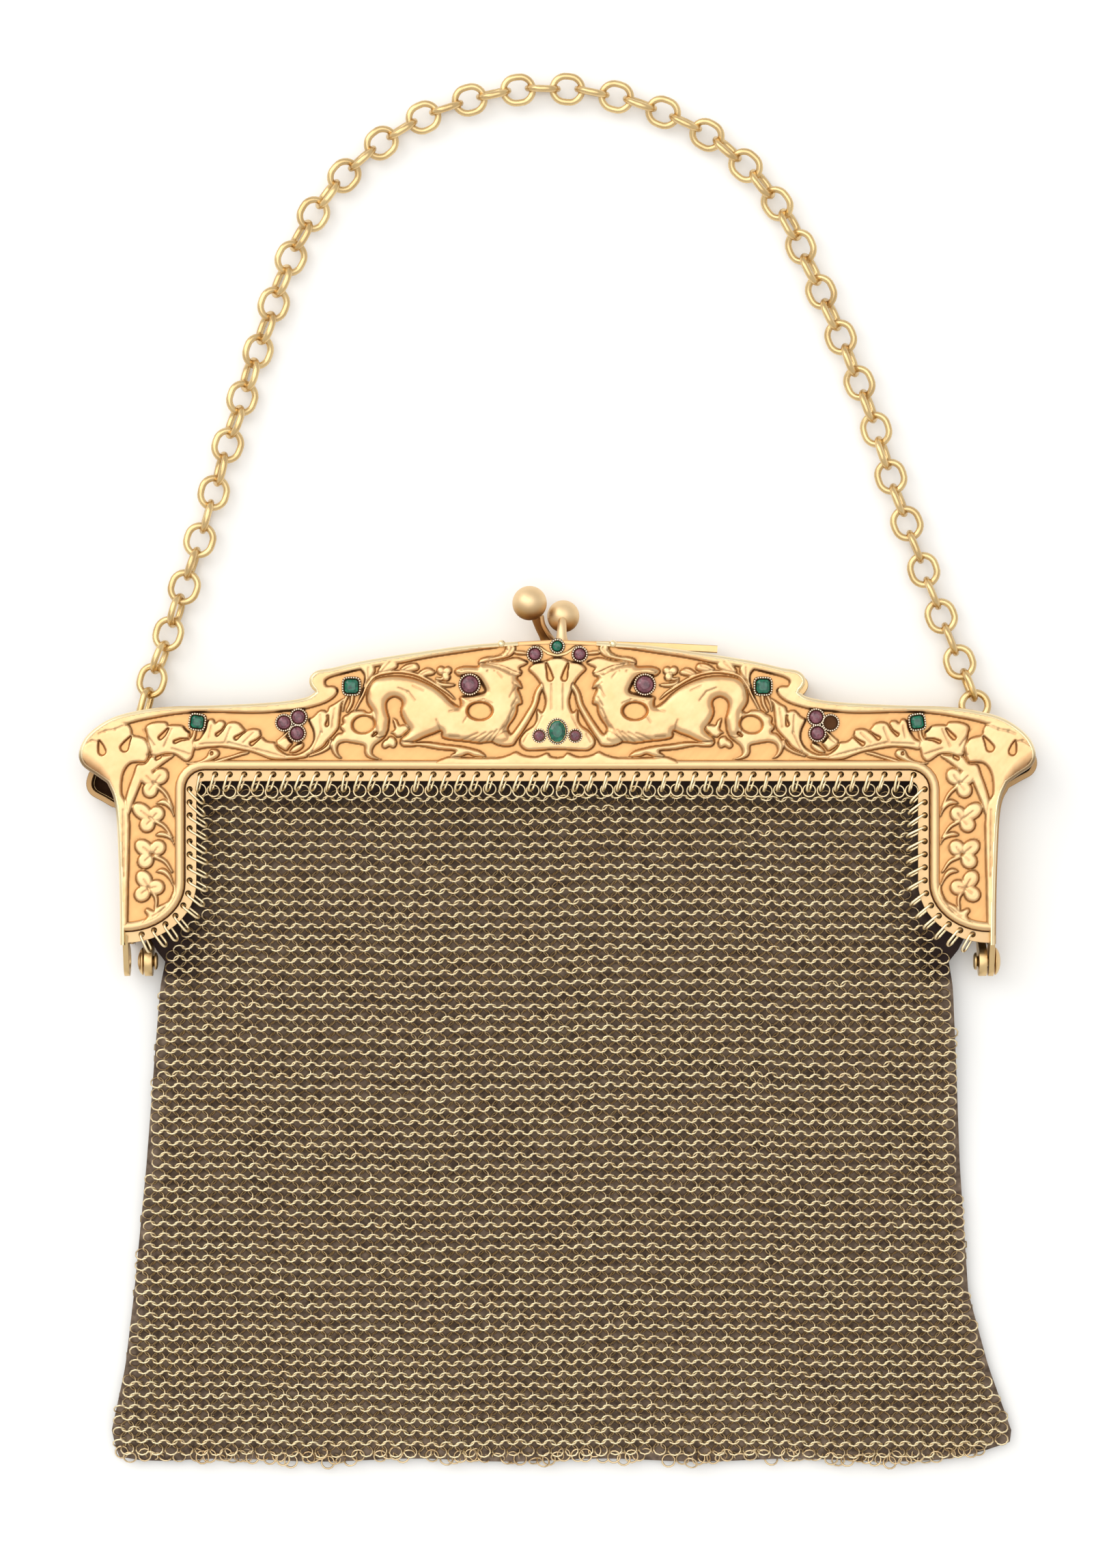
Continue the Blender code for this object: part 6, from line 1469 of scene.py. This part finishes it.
count = len(holes_top)
x = holes_top[:, 0] + rng.normal(-0.3, 0.1, count)
y = -10.45 + rng.normal(0, 0.08, count)
centres = np.column_stack([x, y, 6.9 + rng.normal(0, 0.08, count)])
spin, roll = rng.normal(0, 0.15, count), rng.normal(0.15, 0.12, count)
loose_rings("first_row", centres, ring_axes(spin, roll), (2.25, 2.25, 0.28, 20, 5), mesh_gold, 0.9)
sewing("sewing_top", holes_top, np.tile((-0.32, -1.0), (count, 1)), mesh_gold, 7.9)
sewing("sewing_left", holes_left, fall(holes_left, 1.0), mesh_gold, 7.9, 3.7)
sewing("sewing_right", holes_right, fall(holes_right, -1.0), mesh_gold, 7.9, 3.7)
sewing("sewing_back", holes_top + shift, np.tile((0.2, -1.0), (count, 1)), shaded_mesh_gold, 1.05)
print("sewing links:", 2 * count + len(holes_left) + len(holes_right))

# %% [markdown]
# ## Stage, light and camera
# The purse lies on a white table under a wide soft light, as in a catalogue photograph.
# The camera looks straight down, far away, so that the perspective is gentle.

# %% Table, lights and camera
TABLE_HALF = 1.5
floor_mesh = bpy.data.meshes.new("table")
corners = [(x * TABLE_HALF, y * TABLE_HALF, 0) for x, y in ((-1, -1), (1, -1), (1, 1), (-1, 1))]
floor_mesh.from_pydata(corners, [], [(0, 1, 2, 3)])
floor_material, _, floor_shader = new_material("white_table")
floor_shader.inputs["Base Color"].default_value = (0.93, 0.93, 0.92, 1)
floor_shader.inputs["Roughness"].default_value = 0.7
floor_mesh.materials.append(floor_material)
table_top = bpy.data.objects.new("table", floor_mesh)
table_top.location.z = -0.0002
bpy.context.scene.collection.objects.link(table_top)
table_top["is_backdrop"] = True

world = bpy.context.scene.world or bpy.data.worlds.new("studio")
bpy.context.scene.world = world
world.use_nodes = True
background = world.node_tree.nodes["Background"]
background.inputs["Color"].default_value = (1.0, 0.985, 0.96, 1)
background.inputs["Strength"].default_value = 0.80


def softbox(name, place, width, height, power, colour=(1, 1, 1)):
    """A rectangular light that looks at the purse."""
    data = bpy.data.lights.new(name, "AREA")
    data.shape = "RECTANGLE"
    data.size, data.size_y = width, height
    data.energy = power
    data.color = colour
    light = bpy.data.objects.new(name, data)
    light.location = place
    light.rotation_euler = (-Vector(place)).to_track_quat("-Z", "Y").to_euler()
    bpy.context.scene.collection.objects.link(light)
    light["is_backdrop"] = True


softbox("top_softbox", (-0.15, 0.25, 1.75), 2.0, 1.8, 13.6)
softbox("key", (-0.75, 0.6, 0.75), 0.8, 0.8, 4.0, (1.0, 0.98, 0.94))

VIEW_HEIGHT = 2296 * 0.10737  # the photograph's height in pixels, times units per pixel
VIEW_X, VIEW_Y, VIEW_Z = -0.43, -9.45, 7.0  # the middle of the view
camera_data = bpy.data.cameras.new("camera")
camera = bpy.data.objects.new("camera", camera_data)
bpy.context.scene.collection.objects.link(camera)
bpy.context.scene.camera = camera
camera_data.sensor_fit = "VERTICAL"
camera_data.sensor_height = 36.0
camera_data.lens = 110.0
distance = VIEW_HEIGHT * UNIT * camera_data.lens / camera_data.sensor_height
camera.location = (VIEW_X * UNIT, VIEW_Y * UNIT, distance + VIEW_Z * UNIT)
camera_data.clip_start, camera_data.clip_end = 0.05, 10.0
bpy.context.scene.view_settings.view_transform = "Standard"
bpy.context.scene.view_settings.exposure = 0.0
print("camera height in mm:", round(camera.location.z * 1000))

# %% Sizes and finish
size_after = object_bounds()
triangles = 0
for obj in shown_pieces():
    obj.data.calc_loop_triangles()
    triangles += len(obj.data.loop_triangles)
shown = [round(v * 1000, 1) for v in size_after[1] - size_after[0]]
print("shown size in mm:", shown, " triangles:", triangles)
